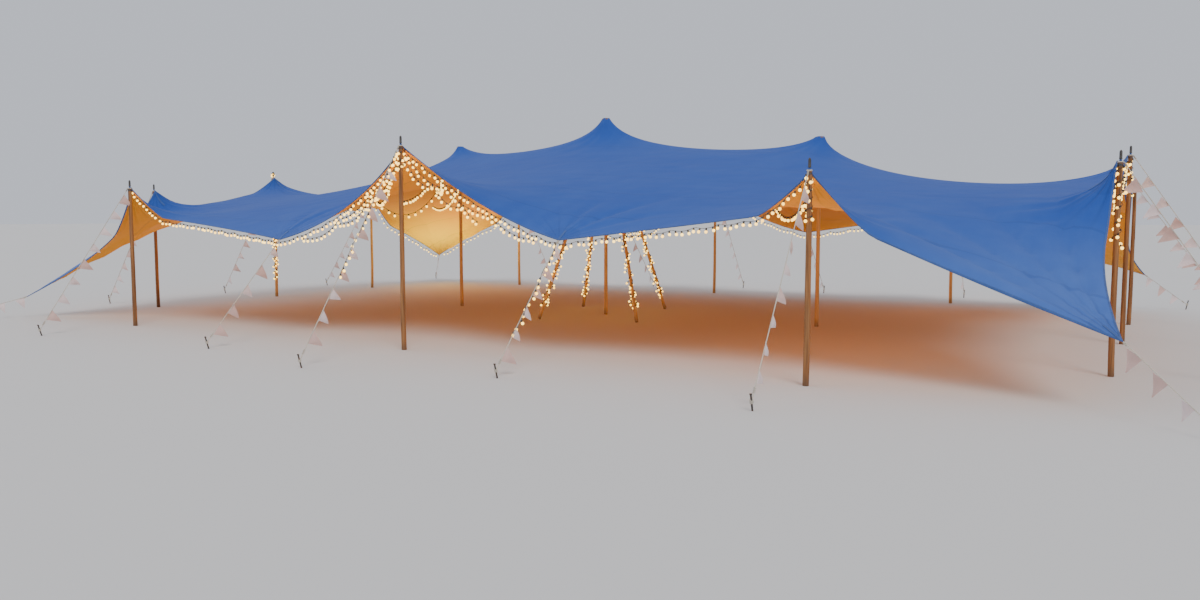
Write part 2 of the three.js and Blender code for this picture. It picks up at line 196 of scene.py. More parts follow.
# An eye's ring of rope and the two rings of its thimble: radius, thickness, lift and finish.
EYE_RINGS = ((0.0345, 0.0095, 0, 0), (0.0225, 0.0035, 0.006, 1), (0.0225, 0.0035, -0.006, 1))
# The rope's turns round a stake: from where to where up it, how many, and points a turn.
STAKE_TURNS = (0.098, 0.150, 3.5, 18)

# The sheet's two grids: their closest and widest lines, and the solver's first height, steps and drives.
ROUGH_LINES = (0.3, 0.6)
FINE_LINES_X = (0.055, 0.12)
FINE_LINES_Y = (0.06, 0.12)
FIRST_HEIGHT = 3.0
ROUGH_STEPS, ROUGH_DRIVE = 600, 1.8
FINE_STEPS, FINE_DRIVE = 700, 1.92

# The stage: the camera's place, its heading over the ground and its tilt in degrees, how far the floor
# reaches, and the soft lamps that stand low under the sheet, each with its place, power and tone.
CAMERA_PLACE = (11.7, -20.55, 2.4)
CAMERA_HEADING = (-0.5, 0.866)
CAMERA_TILT = 4.96
FLOOR_REACH = 260
LAMP_HEIGHT = 0.35
LAMP_SIZE = 2.6
AMBER, YELLOW = (1.0, 0.60, 0.22), (0.75, 1.0, 0.05)
LAMPS = (
    (-9.6, -3.6, 36, AMBER), (-7.4, 4.6, 50, AMBER), (-1.0, -3.8, 26, AMBER), (0.2, 3.6, 20, AMBER),
    (7.0, -4.2, 62, AMBER), (7.6, 4.4, 36, AMBER), (-9.6, 5.6, 76, YELLOW),
)


# ---- Settings ----

def colour(name, description, default):
    return bpy.props.FloatVectorProperty(
        name=name, description=description, subtype="COLOR", size=3, min=0, max=1, default=default)


def length(name, description, default):
    return bpy.props.FloatProperty(
        name=name, description=description, subtype="DISTANCE", unit="LENGTH", min=0, default=default)


class TentClothSettings(bpy.types.PropertyGroup):
    thickness: length("Thickness", "How thick the sheet is shown", 0.006)
    hem_width: length("Hem width", "The width of the webbing folded over the edge", 0.024)
    seam_pitch: length("Seam pitch", "The width of the strips that the sheet is sewn from", 1.45)
    stitch_pitch: length("Stitch pitch", "From one stitch of the hem to the next", 0.045)
    outside: colour("Outside", "The sheet's upper face", (0.012, 0.064, 0.325))
    inside: colour("Inside", "The sheet's underside", (0.93, 0.36, 0.018))
    webbing: colour("Webbing", "The hem and the straps", (0.028, 0.085, 0.29))


class TentPoleSettings(bpy.types.PropertyGroup):
    bow: length("Bow", "How far a pole bends from straight at its middle", 0.014)
    light_wood: colour("Light wood", "The pale grain of the poles", (0.38, 0.175, 0.062))
    dark_wood: colour("Dark wood", "The dark grain of the poles", (0.14, 0.055, 0.019))
    # Painted light: the poles and legs in the warm lamplight under the sheet get this paler, warmer copy of
    # the wood.
    lamplit_wood: colour(
        "Dry wood", "The grain of the poles and legs that the sheet shelters", (0.93, 0.56, 0.20))


class TentRopeSettings(bpy.types.PropertyGroup):
    thickness: length("Thickness", "The guy ropes' diameter", 0.014)
    fibre: colour("Fibre", "The ropes' colour", (0.66, 0.60, 0.50))
    steel: colour("Steel", "The stakes and pins", (0.10, 0.095, 0.09))


class TentBuntingSettings(bpy.types.PropertyGroup):
    flag_width: length("Flag width", "Along the rope", 0.21)
    flag_height: length("Flag height", "From the rope to the point", 0.25)
    spacing: length("Spacing", "From one flag to the next", 0.40)
    white: colour("White", "The paler flags", (0.74, 0.61, 0.61))
    pink: colour("Pink", "The warmer flags", (0.64, 0.44, 0.40))


class TentLightSettings(bpy.types.PropertyGroup):
    bulb_size: length("Bulb size", "A bulb's diameter", 0.050)
    spacing: length("Spacing", "From one bulb to the next", 0.105)
    glow: bpy.props.FloatProperty(
        name="Glow", description="How strongly the bulbs shine", min=0, default=4.0)
    warm: colour("Warm white", "The colour of their light", (1.0, 0.56, 0.07))


class TentStageSettings(bpy.types.PropertyGroup):
    floor: colour("Floor", "The plain pale floor", (0.62, 0.61, 0.60))
    lens: bpy.props.FloatProperty(
        name="Lens", description="The camera's focal length", subtype="DISTANCE_CAMERA", default=29.28)


# ---- Lines and rings ----

def unit(vector):
    return vector / np.linalg.norm(vector, axis=-1, keepdims=True)


def between(a, b, share):
    """The place, or the row of places, that lies a share of the way from a to b."""
    return a + np.multiply.outer(share, b - a)


def lengths(path):
    """How far along a path each of its points lies."""
    return np.concatenate([[0], np.cumsum(np.linalg.norm(np.diff(path, axis=0), axis=1))])


def crosswise(axis, hint):
    """Two directions at right angles to an axis and to each other."""
    side = unit(np.cross(axis, hint))
    return side, np.cross(axis, side)


def around(count):
    """Evenly spaced angles, once round."""
    return np.linspace(0, 2 * math.pi, count, endpoint=False)


def ring(centre, a, b, count):
    """Points round a centre, from its two half axes."""
    turn = around(count)
    return np.asarray(centre) + np.outer(np.cos(turn), a) + np.outer(np.sin(turn), b)


def level_ring(radius, height, count):
    return ring((0, 0, height), (radius, 0, 0), (0, radius, 0), count)


def spiral(low, high, radius, turns, per_turn=16, start=0.0):
    """A path that winds round the line from low to high. The radius may be a pair, from low to high."""
    low, high = np.array(low, float), np.array(high, float)
    side, up = crosswise(unit(high - low), (1, 0.2, 0))
    share = np.linspace(0, 1, max(4, int(turns * per_turn)) + 1)
    first, last = radius if isinstance(radius, tuple) else (radius, radius)
    turn = (start + 2 * math.pi * turns * share)[:, None]
    wide = (first + (last - first) * share)[:, None]
    return between(low, high, share) + wide * (np.cos(turn) * side + np.sin(turn) * up)


# ---- The sheet ----

def span_at(edge, at):
    last = max(1, next(k for k, held in enumerate(edge) if at <= held.at + 1e-9))
    a, b = edge[last - 1], edge[last]
    return a, b, (at - a.at) / (b.at - a.at)


def edge_height(edge, at):
    a, b, share = span_at(edge, at)
    sag = max(a.sag, b.sag) * 4 * share * (1 - share)
    ears = sum(held.ear * max(0, 1 - abs(at - held.at) / EAR_REACH) ** EAR_POWER for held in (a, b))
    return a.hang + (b.hang - a.hang) * share - sag + ears


def edge_inset(edge, at, scallop):
    a, b, share = span_at(edge, at)
    return scallop * (b.at - a.at) * 4 * share * (1 - share)


def grid_lines(places, finest, widest):
    """Grid lines through every place, close together beside it and wider between."""
    fixed = sorted(set(places))
    lines = [fixed[0]]
    for start, end in zip(fixed, fixed[1:]):
        steps = [finest]
        while sum(steps) < (end - start) / 2:
            steps.append(min(widest, steps[-1] * 1.35))
        offsets = np.cumsum(steps) * (end - start) / 2 / sum(steps)
        lines += [start + o for o in offsets] + [end - o for o in offsets[-2::-1]] + [end]
    return np.array(lines)


def settle(xs, ys, start, steps, drive):
    """The sheet's heights, where the pulls of each free point's four neighbours balance."""
    z = start.copy()
    z[:, 0] = [edge_height(FRONT, x) for x in xs]
    z[:, -1] = [edge_height(BACK, x) for x in xs]
    z[0] = [edge_height(LEFT, y) for y in ys]
    z[-1] = [edge_height(RIGHT, y) for y in ys]
    free = np.ones((len(xs) - 2, len(ys) - 2), bool)
    for at, top in PEAKS.values():
        away = np.hypot.outer(xs - at, ys)
        pad = away <= PAD + 1e-6
        z[pad] = top - DOME * away[pad] ** 2
        free &= ~pad[1:-1, 1:-1]
    west, east = (xs[1:-1] - xs[:-2])[:, None], (xs[2:] - xs[1:-1])[:, None]
    south, north = (ys[1:-1] - ys[:-2])[None], (ys[2:] - ys[1:-1])[None]

    def ridge(x):
        along = (x >= PEAKS["left"][0]) & (x <= PEAKS["right"][0])
        return 1 + RIDGE_TENSION * np.outer(along, np.exp(-((ys[1:-1] / RIDGE_WIDTH) ** 2)))

    pull_west = ridge((xs[1:-1] + xs[:-2]) / 2) * (south + north) / 2 / west
    pull_east = ridge((xs[1:-1] + xs[2:]) / 2) * (south + north) / 2 / east
    pull_south, pull_north = (west + east) / 2 / south, (west + east) / 2 / north
    total = pull_west + pull_east + pull_south + pull_north
    parity = np.add.outer(np.arange(len(xs) - 2), np.arange(len(ys) - 2)) % 2
    turns = [drive * (free & (parity == turn)) for turn in (0, 1)]
    for _ in range(steps):
        for turn in turns:
            along = pull_west * z[:-2, 1:-1] + pull_east * z[2:, 1:-1]
            across = pull_south * z[1:-1, :-2] + pull_north * z[1:-1, 2:]
            z[1:-1, 1:-1] += turn * ((along + across) / total - z[1:-1, 1:-1])
    return z


# A held point: its tip in the air, the ways out from the tent and aside, its ear's height, its guy's reach.
Anchor = namedtuple("Anchor", "name tip out side ear reach")


def anchors():
    """Every named point of the edges, and the corners."""
    named = [(held.name, x, y, x * HALF_LENGTH or held.at, y * HALF_WIDTH or held.at,
              edge_height(edge, held.at), held.ear, held.reach)
             for edge, (x, y) in EDGES for held in edge if held.name]
    named += [(f"{name}_corner", x / 2 ** 0.5, y / 2 ** 0.5, x * HALF_LENGTH, y * HALF_WIDTH, held.hang, 0,
               CORNER_REACH) for name, x, y, held in CORNERS]
    return [Anchor(name, np.array(tip), np.array([x, y, 0.0]), np.array([y, -x, 0.0]), ear, reach)
            for name, x, y, *tip, ear, reach in named]


ANCHORS = anchors()


class Sheet:
    """The stretched cloth on a fine grid: where each point of the flat cut lies in the air."""

    def __init__(self):
        places_x = [each.at for each in FRONT + BACK]
        places_x += [at + k * PAD for at, _ in PEAKS.values() for k in (-1, 0, 1)]
        places_y = [each.at for each in LEFT + RIGHT] + [-PAD, 0, PAD]
        rough_x, rough_y = (grid_lines(places, *ROUGH_LINES) for places in (places_x, places_y))
        first = np.full((len(rough_x), len(rough_y)), FIRST_HEIGHT)
        rough = settle(rough_x, rough_y, first, ROUGH_STEPS, ROUGH_DRIVE)
        self.xs, self.ys = grid_lines(places_x, *FINE_LINES_X), grid_lines(places_y, *FINE_LINES_Y)
        rough = np.array([np.interp(self.ys, rough_y, row) for row in rough])
        rough = np.array([np.interp(self.xs, rough_x, row) for row in rough.T]).T
        height = settle(self.xs, self.ys, rough, FINE_STEPS, FINE_DRIVE)
        x, y = np.meshgrid(self.xs, self.ys, indexing="ij")
        front, back = (np.array([edge_inset(e, at, SCALLOP) for at in self.xs]) for e in (FRONT, BACK))
        left, right = (np.array([edge_inset(e, at, END_SCALLOP) for at in self.ys]) for e in (LEFT, RIGHT))
        far_x, far_y = abs(x / HALF_LENGTH), abs(y / HALF_WIDTH)
        grown = [np.clip((far - CORNER_START) / (1 - CORNER_START), 0, 1) for far in (far_x, far_y)]
        out = CORNER_PULL * (grown[0] * grown[1]) ** 2
        out_x = out - np.where(x < 0, left[None], right[None]) * far_x ** SCALLOP_FADE
        out_y = out - np.where(y < 0, front[:, None], back[:, None]) * far_y ** SCALLOP_FADE
        self.pull = np.zeros((*x.shape, 3))
        height = height + self.folds(x, y)
        self.cut = np.stack([x, y, 0 * x], -1)
        self.place = np.stack([x + np.sign(x) * out_x, y + np.sign(y) * out_y, height], -1)
        along = np.gradient(self.place, self.xs, axis=0)
        across = np.gradient(self.place, self.ys, axis=1)
        self.normal = unit(np.cross(along, across))

    def folds(self, x, y):
        """Tension folds that fan out of every held point, and what the finish needs to know of them."""
        lift = np.zeros_like(x)
        quiet = np.ones_like(x)
        tall, count = PEAK_FOLDS
        for at, _ in PEAKS.values():
            away = np.hypot(x - at, y)
            quiet *= np.clip((away - 0.15) / 0.5, 0, 1)
            grow = np.clip((away - 0.12) / 0.4, 0, 1) * np.exp(-away / 0.7)
            lift += tall * grow * np.cos(count * np.arctan2(y, x - at) + 2 * at)
        nearest = np.full_like(x, 9)
        for k, anchor in enumerate(ANCHORS):
            from_x, from_y = x - anchor.tip[0], y - anchor.tip[1]
            away = np.hypot(from_x, from_y)
            into = -from_x * anchor.out[0] - from_y * anchor.out[1]
            aside = from_x * anchor.side[0] + from_y * anchor.side[1]
            angle = np.arctan2(aside, np.maximum(into, 1e-6))
            corner = anchor.name.endswith("corner")
            far, tall, count, shown = CORNER_FOLDS if corner else EAR_FOLDS if anchor.ear else LOW_FOLDS
            shape = away / far * np.exp((1 - (away / far) ** 2) / 2)
            uneven = 1 + 0.35 * np.sin(3 * angle + k)
            crease = 1 - 2 * (1 - abs(np.sin(count * angle / 2 + 0.85 * k))) ** 2
            lift += quiet * tall * shape * uneven * crease * np.exp(-((angle / 1.25) ** 4))
            nearer = away < nearest
            nearest[nearer] = away[nearer]
            strength = np.clip(1 - away / FOLD_REACH, 0, 1) ** 2 * shown
            self.pull[nearer] = np.stack([angle + k, away, strength], -1)[nearer]
        return lift

    def at(self, x, y, lift=0.0):
        """The place in the air of points of the cut, raised off the sheet."""
        x, y = np.broadcast_arrays(np.asarray(x, float), np.asarray(y, float))
        i = np.clip(np.searchsorted(self.xs, x) - 1, 0, len(self.xs) - 2)
        j = np.clip(np.searchsorted(self.ys, y) - 1, 0, len(self.ys) - 2)
        s = np.clip((x - self.xs[i]) / (self.xs[i + 1] - self.xs[i]), 0, 1)[..., None]
        t = np.clip((y - self.ys[j]) / (self.ys[j + 1] - self.ys[j]), 0, 1)[..., None]

        def blend(grid):
            low = grid[i, j] * (1 - s) + grid[i + 1, j] * s
            return low * (1 - t) + (grid[i, j + 1] * (1 - s) + grid[i + 1, j + 1] * s) * t

        return blend(self.place) + lift * blend(self.normal)


sheet = Sheet()


# ---- Meshes ----

def linked(name, data):
    """A new object in the scene."""
    made = bpy.data.objects.new(name, data)
    bpy.context.scene.collection.objects.link(made)
    return made


def mark(mesh, name, values):
    """Store three numbers with each vertex of a mesh."""
    kept = mesh.attributes.new(name, "FLOAT_VECTOR", "POINT")
    kept.data.foreach_set("vector", np.concatenate(values).astype(np.float32).ravel())


def placed(piece, slot, *nodes):
    """Fix a finished piece to the tent and hide the solids that it stands for. The slot is not used."""
    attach(piece, "root")
    if nodes:
        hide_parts(*nodes)
    return piece


class Stock:
    """Vertices and faces gathered into one mesh, with how each vertex lies along its own piece."""

    def __init__(self):
        self.points, self.grain, self.faces, self.finishes = [], [], [], []

    def add(self, points, grain, faces, finish=0):
        first = sum(map(len, self.points))
        self.points.append(np.asarray(points, float).reshape(-1, 3))
        self.grain.append(np.asarray(grain, float).reshape(-1, 3))
        self.faces += [tuple(int(k) + first for k in face) for face in faces]
        self.finishes += [finish] * len(faces)

    def rings(self, rings, grain, finish=0, closed=False):
        """Skin a row of rings, each with the same number of points."""
        rows, sides = len(rings), len(rings[0])
        faces = []
        for r in range(rows if closed else rows - 1):
            a, b = r * sides, (r + 1) % rows * sides
            faces += [(a + s, a + (s + 1) % sides, b + (s + 1) % sides, b + s) for s in range(sides)]
        if not closed:
            faces += [tuple(range(sides))[::-1], tuple((rows - 1) * sides + s for s in range(sides))]
        self.add(rings, grain, faces, finish)

    def tube(self, path, radius, sides=8, finish=0, closed=False):
        """A round tube along a path."""
        path = np.asarray(path, float)
        tangent = unit(np.roll(path, -1, 0) - np.roll(path, 1, 0) if closed else np.gradient(path, axis=0))
        side, _ = crosswise(tangent[0], (0.3, 0.2, 1.0))
        rings = []
        for point, along in zip(path, tangent):
            side = unit(side - along * side.dot(along))
            rings.append(ring(point, radius * side, radius * np.cross(along, side), sides))
        grain = [level_ring(radius, far, sides) for far in lengths(path)]
        self.rings(rings, grain, finish, closed)

    def turned(self, profile, sides, centre=(0, 0, 0), finish=0):
        """A turned shape about a vertical line, from [radius, height] points, from the bottom up."""
        rings = np.array([level_ring(r, z, sides) for r, z in profile])
        self.rings(rings + np.array(centre), rings, finish)

    def slab(self, top, bottom, finish=0):
        """A thin closed slab between two grids of points, split along the same diagonals on both faces."""
        rows, columns = top.shape[:2]
        under = rows * columns
        faces = []
        for i in range(rows - 1):
            for j in range(columns - 1):
                a = i * columns + j
                b, c, d = a + columns, a + columns + 1, a + 1
                faces += [(a, b, c), (a, c, d)]
                faces += [(c + under, b + under, a + under), (d + under, c + under, a + under)]
        rim = [i * columns for i in range(rows)] + [(rows - 1) * columns + j for j in range(1, columns)]
        rim += [i * columns + columns - 1 for i in range(rows - 2, -1, -1)] + list(range(columns - 2, 0, -1))
        faces += [(a, a + under, b + under, b) for a, b in zip(rim, rim[1:] + rim[:1])]
        points = np.concatenate([top.reshape(-1, 3), bottom.reshape(-1, 3)])
        self.add(points, points, faces, finish)

    def object(self, name, kinds=(), sharp=40, attribute="grain"):
        mesh = bpy.data.meshes.new(name)
        mesh.from_pydata(np.concatenate(self.points).tolist(), [], self.faces)
        for kind in kinds:
            mesh.materials.append(finish_of(kind))
        mesh.polygons.foreach_set("material_index", self.finishes)
        mesh.polygons.foreach_set("use_smooth", [True] * len(self.faces))
        mark(mesh, attribute, self.grain)
        mesh.set_sharp_from_angle(angle=math.radians(sharp))
        mesh.update()
        return linked(name, mesh)

    def piece(self, name, kinds, slot, *nodes, sharp=40):
        """The finished object, fixed to the tent."""
        return placed(self.object(name, kinds, sharp), slot, *nodes)


# ---- Finishes ----

class Shade:
    """A socket of a node tree that takes part in plain arithmetic."""

    def __init__(self, tree, socket=None):
        self.tree, self.socket = tree, socket

    def fill(self, node, sockets):
        """Link a node's sockets, or set their fixed values."""
        for key, value in sockets.items():
            if isinstance(value, Shade):
                self.tree.links.new(value.socket, node.inputs[key])
            else:
                node.inputs[key].default_value = value

    def node(self, kind, settings=None, sockets=None, out=0):
        """Add a node: its settings first, then the values or links of its sockets."""
        made = self.tree.nodes.new(kind)
        for key, value in (settings or {}).items():
            setattr(made, key, value)
        self.fill(made, sockets or {})
        return Shade(self.tree, made.outputs[out])

    def maths(self, operation, *others):
        return self.node("ShaderNodeMath", {"operation": operation}, dict(enumerate((self, *others))))

    def __rsub__(self, other):
        return self.node("ShaderNodeMath", {"operation": "SUBTRACT"}, {0: other, 1: self})

    __add__ = partialmethod(maths, "ADD")
    __sub__ = partialmethod(maths, "SUBTRACT")
    __mul__ = partialmethod(maths, "MULTIPLY")
    __truediv__ = partialmethod(maths, "DIVIDE")
    __pow__ = partialmethod(maths, "POWER")

    def ramped(self, low, high):
        """0 at low and 1 at high, with a soft start and end. Low may be above high."""
        sockets = {0: self, 1: low, 2: high}
        return self.node("ShaderNodeMapRange", {"interpolation_type": "SMOOTHSTEP"}, sockets)

    def mixed(self, a, b):
        """Colour a where this is 0, and b where it is 1."""
        a, b = (tone if isinstance(tone, Shade) else (*tone, 1) for tone in (a, b))
        return self.node("ShaderNodeMix", {"data_type": "RGBA"}, {0: self, 6: a, 7: b}, 2)

    def axes(self):
        split = self.node("ShaderNodeSeparateXYZ", {}, {0: self})
        return [Shade(self.tree, out) for out in split.socket.node.outputs]

    def stretched(self, x, y, z):
        return self.node("ShaderNodeVectorMath", {"operation": "MULTIPLY"}, {0: self, 1: (x, y, z)})

    def noise(self, scale, detail=3, rough=0.55):
        sockets = {"Vector": self, "Scale": scale, "Detail": detail, "Roughness": rough}
        return self.node("ShaderNodeTexNoise", {}, sockets)

    def bumped(self):
        return self.node("ShaderNodeBump", {}, {"Strength": 1.0, "Distance": 1.0, "Height": self})

    def attribute(self, name, out="Vector"):
        return self.node("ShaderNodeAttribute", {"attribute_name": name}, {}, out)

    def spot(self):
        """The place on the object, in its own coordinates."""
        return self.node("ShaderNodeTexCoord", out="Object")


def dimmed(tone, share):
    return tuple(share * part for part in tone)


def cloth_finish(root, tone, pale, seam_pitch, hem):
    """Coated stretch cloth: sewn strips, dust, painted light that pales it low down, folds at every held
    point with painted shade.
    """
    cut, spot = root.attribute("cut"), root.spot()
    x, y, _ = cut.axes()
    angle, away, strength = root.attribute("pull").axes()
    _, _, height = spot.axes()
    strip = y / seam_pitch + 0.5
    whole = strip.maths("ROUND")
    seam = (strip - whole).maths("ABSOLUTE") * seam_pitch
    sewn = seam.ramped(0.028, 0.018)
    dashes = (x / 0.03).maths("FRACT").ramped(0.3, 0.4)
    thread = (seam - 0.012).maths("ABSOLUTE").ramped(0.004, 0.0015) * dashes
    wide, patchy = spot.noise(0.35, 4), spot.noise(2.6, 5, 0.6)
    streak = cut.stretched(3.2, 0.28, 1).noise(1.4, 4)
    dust = (patchy * 0.35 + streak * 0.3 + wide * 0.35).ramped(0.38, 0.68)
    patch = away.ramped(0.34, 0.325)
    # Painted light: the cloth turns paler low down, towards its pale tone; the dust adds random patches of
    # the same tone.
    base = (dust * 0.2 + height.ramped(2.7, 1.3) * 0.6).mixed(tone, pale)
    strip_tone = root.node("ShaderNodeTexWhiteNoise", {"noise_dimensions": "1D"}, {"W": whole})
    base = (strip_tone * 0.10).mixed(base, pale)
    base = (sewn * 0.16 + patch * 0.14).mixed(base, dimmed(tone, 0.5))
    base = (thread * 0.35).mixed(base, hem)
    fan = (angle * 31).maths("SINE") * 0.6 + (angle * 17 + away * 1.3).maths("SINE")
    # Painted shade: the cloth is darkened in the valleys of the folds near the held points.
    base = (fan.ramped(-0.2, -1.3) * strength * 0.55).mixed(base, dimmed(tone, 0.45))
    folds = fan * strength * (away * 2.5).maths("MINIMUM", 1.0) * 0.009
    slack = spot.noise(0.9, 2) * 0.05 + spot.noise(3.1, 3) * 0.006
    knit = spot.noise(240, 2) * 0.0005
    relief = folds + slack + knit + sewn * 0.0014 + thread * 0.0008 + patch * 0.0012
    return {"Base Color": base, "Roughness": dust * 0.12 + 0.72, "Normal": relief.bumped(),
            "Sheen Weight": 0.05, "Specular IOR Level": 0.22}


def wood_finish(root, pale, dark, fine=1.0):
    """Peeled round wood: grain along the pole, knots, handling wear and a darker damp foot."""
    grain, spot = root.attribute("grain"), root.spot()
    _, _, height = spot.axes()
    fibre = grain.stretched(58 * fine, 58 * fine, 1.6).noise(1.0, 6, 0.62)
    bands = grain.stretched(15, 15, 0.9).noise(1.0, 3, 0.5)
    knots = grain.stretched(7, 7, 2.4).node("ShaderNodeTexVoronoi", {}, {"Scale": 1.0})
    knot = knots.ramped(0.15, 0.03)
    tone = (fibre * 0.65 + bands * 0.45).ramped(0.36, 0.74).mixed(dark, pale)
    worn = tuple(0.6 * a + 0.4 * b for a, b in zip(dark, pale))
    tone = (spot.noise(1.7, 4).ramped(0.45, 0.7) * 0.35).mixed(tone, worn)
    tone = (knot * 0.75).mixed(tone, dimmed(dark, 0.45))
    tone = (height.ramped(0.22, 0.02) * 0.5).mixed(tone, (0.07, 0.05, 0.035))
    crack = grain.stretched(90, 90, 0.8).noise(1.0, 2, 0.4).ramped(0.66, 0.72)
    tone = (crack * 0.55).mixed(tone, dimmed(dark, 0.35))
    relief = fibre * 0.0016 + bands * 0.002 - crack * 0.0014 + knot * 0.0022
    return {"Base Color": tone, "Roughness": fibre * 0.3 + 0.48, "Normal": relief.bumped(),
            "Specular IOR Level": 0.35}


def rope_finish(root, fibre, pitch):
    """Laid rope: three strands that wind round each other, a little grimy."""
    x, y, along = root.attribute("grain").axes()
    turn = y.maths("ARCTAN2", x) * 3 + along * (2 * math.pi / pitch)
    strand = turn.maths("SINE") * 0.5 + 0.5
    yarn = (turn * 5 - along * 300).maths("SINE") * 0.5 + 0.5
    grime = root.spot().noise(7, 4).ramped(0.42, 0.75)
    groove = strand.ramped(0.32, 0.02)
    tone = (grime * 0.45).mixed(fibre, dimmed(fibre, 0.5))
    # Painted shade: the grooves between the strands and the fine lines between the yarns are darkened.
    tone = (groove * 0.6 + yarn * 0.08).mixed(tone, dimmed(fibre, 0.28))
    relief = strand ** 0.5 * 0.0022 + yarn * 0.0003
    return {"Base Color": tone, "Roughness": strand * 0.1 + 0.75, "Normal": relief.bumped(),
            "Sheen Weight": 0.2}


def steel_finish(root, tone):
    """Dull steel with rust that blooms in patches."""
    spot = root.spot()
    rust = (spot.noise(34, 5, 0.65) * 0.6 + spot.noise(9, 2) * 0.4).ramped(0.48, 0.6)
    relief = spot.noise(160, 3) * 0.0006 + rust * 0.0004
    return {"Base Color": rust.mixed(tone, (0.16, 0.062, 0.024)), "Metallic": 0.85 - rust * 0.75,
            "Roughness": rust * 0.35 + 0.4, "Normal": relief.bumped()}


def webbing_finish(root, tone):
    """Woven webbing, seen as fine crossing ribs."""
    spot = root.spot()
    x, y, z = spot.axes()
    ribs = ((x + y) * 700).maths("SINE") * ((x - y + z) * 700).maths("SINE")
    grime = (spot.noise(1.1, 4) * 0.6 + spot.noise(9, 4) * 0.4).ramped(0.42, 0.66)
    return {"Base Color": (grime * 0.5).mixed(tone, dimmed(tone, 0.55)), "Roughness": grime * 0.12 + 0.78,
            "Normal": (ribs * 0.0004 + grime * 0.0005).bumped(), "Sheen Weight": 0.15}


def flag_finish(root, white, pink):
    """Cotton flags in a few pale dusty tints, with soft creases."""
    spot = root.spot()
    x, _, z = spot.axes()
    base = root.attribute("tint", "Fac").ramped(0.45, 0.62).mixed(white, pink)
    crease = spot.noise(9, 3)
    base = (crease.ramped(0.5, 0.75) * 0.25).mixed(base, dimmed(pink, 0.72))
    weave = (x * 2600).maths("SINE") * (z * 2600).maths("SINE")
    return {"Base Color": base, "Roughness": crease * 0.1 + 0.8,
            "Normal": (crease * 0.012 + weave * 0.0001).bumped(), "Sheen Weight": 0.25}


def bulb_finish(root, warm, glow):
    """A warm glass bulb, with each a little different."""
    tint = root.attribute("tint", "Fac")
    return {"Base Color": (tint * 0.5).mixed((0.50, 0.30, 0.10), (0.60, 0.42, 0.20)), "Roughness": 0.15,
            "Emission Color": (tint * 0.7).mixed(warm, (1.0, 0.74, 0.20)), "Emission Strength": glow}


def rubber_finish(root, tone):
    """Matt rubber with dust and scuffs."""
    spot = root.spot()
    dust = spot.noise(23, 4).ramped(0.42, 0.72)
    return {"Base Color": (dust * 0.4).mixed(tone, tuple(part + 0.09 for part in tone)),
            "Roughness": dust * 0.25 + 0.5, "Normal": (spot.noise(310, 2) * 0.0004).bumped()}


def plain_finish(root, tone):
    """The stage's own pale, matt finish."""
    base = (root.spot().noise(0.2, 2) * 0.1).mixed(tone, dimmed(tone, 0.9))
    return {"Base Color": base, "Roughness": 0.95, "Specular IOR Level": 0.1}


FINISHES = {}


def finish_of(kind):
    """One shared material for each kind of finish, from the user's colours."""
    if kind in FINISHES:
        return FINISHES[kind]
    scene = bpy.context.scene
    cloth, poles, ropes = scene.tent_cloth, scene.tent_poles, scene.tent_ropes
    bunting, lights = scene.tent_bunting, scene.tent_lights
    name, build, *given = {
        "outside": ("canopy_outside", cloth_finish, cloth.outside, (0.075, 0.155, 0.44), cloth.seam_pitch,
                    cloth.webbing),
        "inside": ("canopy_inside", cloth_finish, cloth.inside, (0.96, 0.48, 0.05), cloth.seam_pitch,
                   cloth.webbing),
        "webbing": ("hem_webbing", webbing_finish, cloth.webbing),
        "under webbing": ("strap_webbing", webbing_finish, dimmed(cloth.inside, 0.85)),
        "thread": ("hem_thread", rubber_finish, (0.10, 0.14, 0.27)),
        "wood": ("pole_wood", wood_finish, poles.light_wood, poles.dark_wood),
        # Painted light: a paler, warmer copy of the pole wood, for the poles in the warm lamplight.
        "dry wood": ("dry_pole_wood", wood_finish, poles.lamplit_wood, dimmed(poles.lamplit_wood, 0.62)),
        "cap": ("cap_wood", wood_finish, (0.33, 0.18, 0.09), (0.13, 0.06, 0.028), 0.5),
        "rope": ("guy_rope", rope_finish, ropes.fibre, 0.05),
        "steel": ("stake_steel", steel_finish, ropes.steel),
        "flag": ("bunting_cotton", flag_finish, bunting.white, bunting.pink),
        "bulb": ("bulb_glass", bulb_finish, lights.warm, lights.glow),
        "cable": ("light_cable", rubber_finish, (0.035, 0.028, 0.022)),
        "floor": ("floor_pale", plain_finish, scene.tent_stage.floor),
    }[kind]
    material = bpy.data.materials.new(name)
    material.use_nodes = True
    root = Shade(material.node_tree)
    root.fill(material.node_tree.nodes["Principled BSDF"], build(root, *given))
    FINISHES[kind] = material
    return material


# ---- What repeats along a line ----

REPEAT = "Repeat Along Line"
REPEAT_INPUTS = (
    ("Geometry", "NodeSocketGeometry"), ("Shape", "NodeSocketObject"), ("Spacing", "NodeSocketFloat"),
    ("Follow", "NodeSocketFloat"), ("Tilt", "NodeSocketFloat"), ("Size Spread", "NodeSocketFloat"),
    ("Seed", "NodeSocketInt"), ("Material", "NodeSocketMaterial"),
)


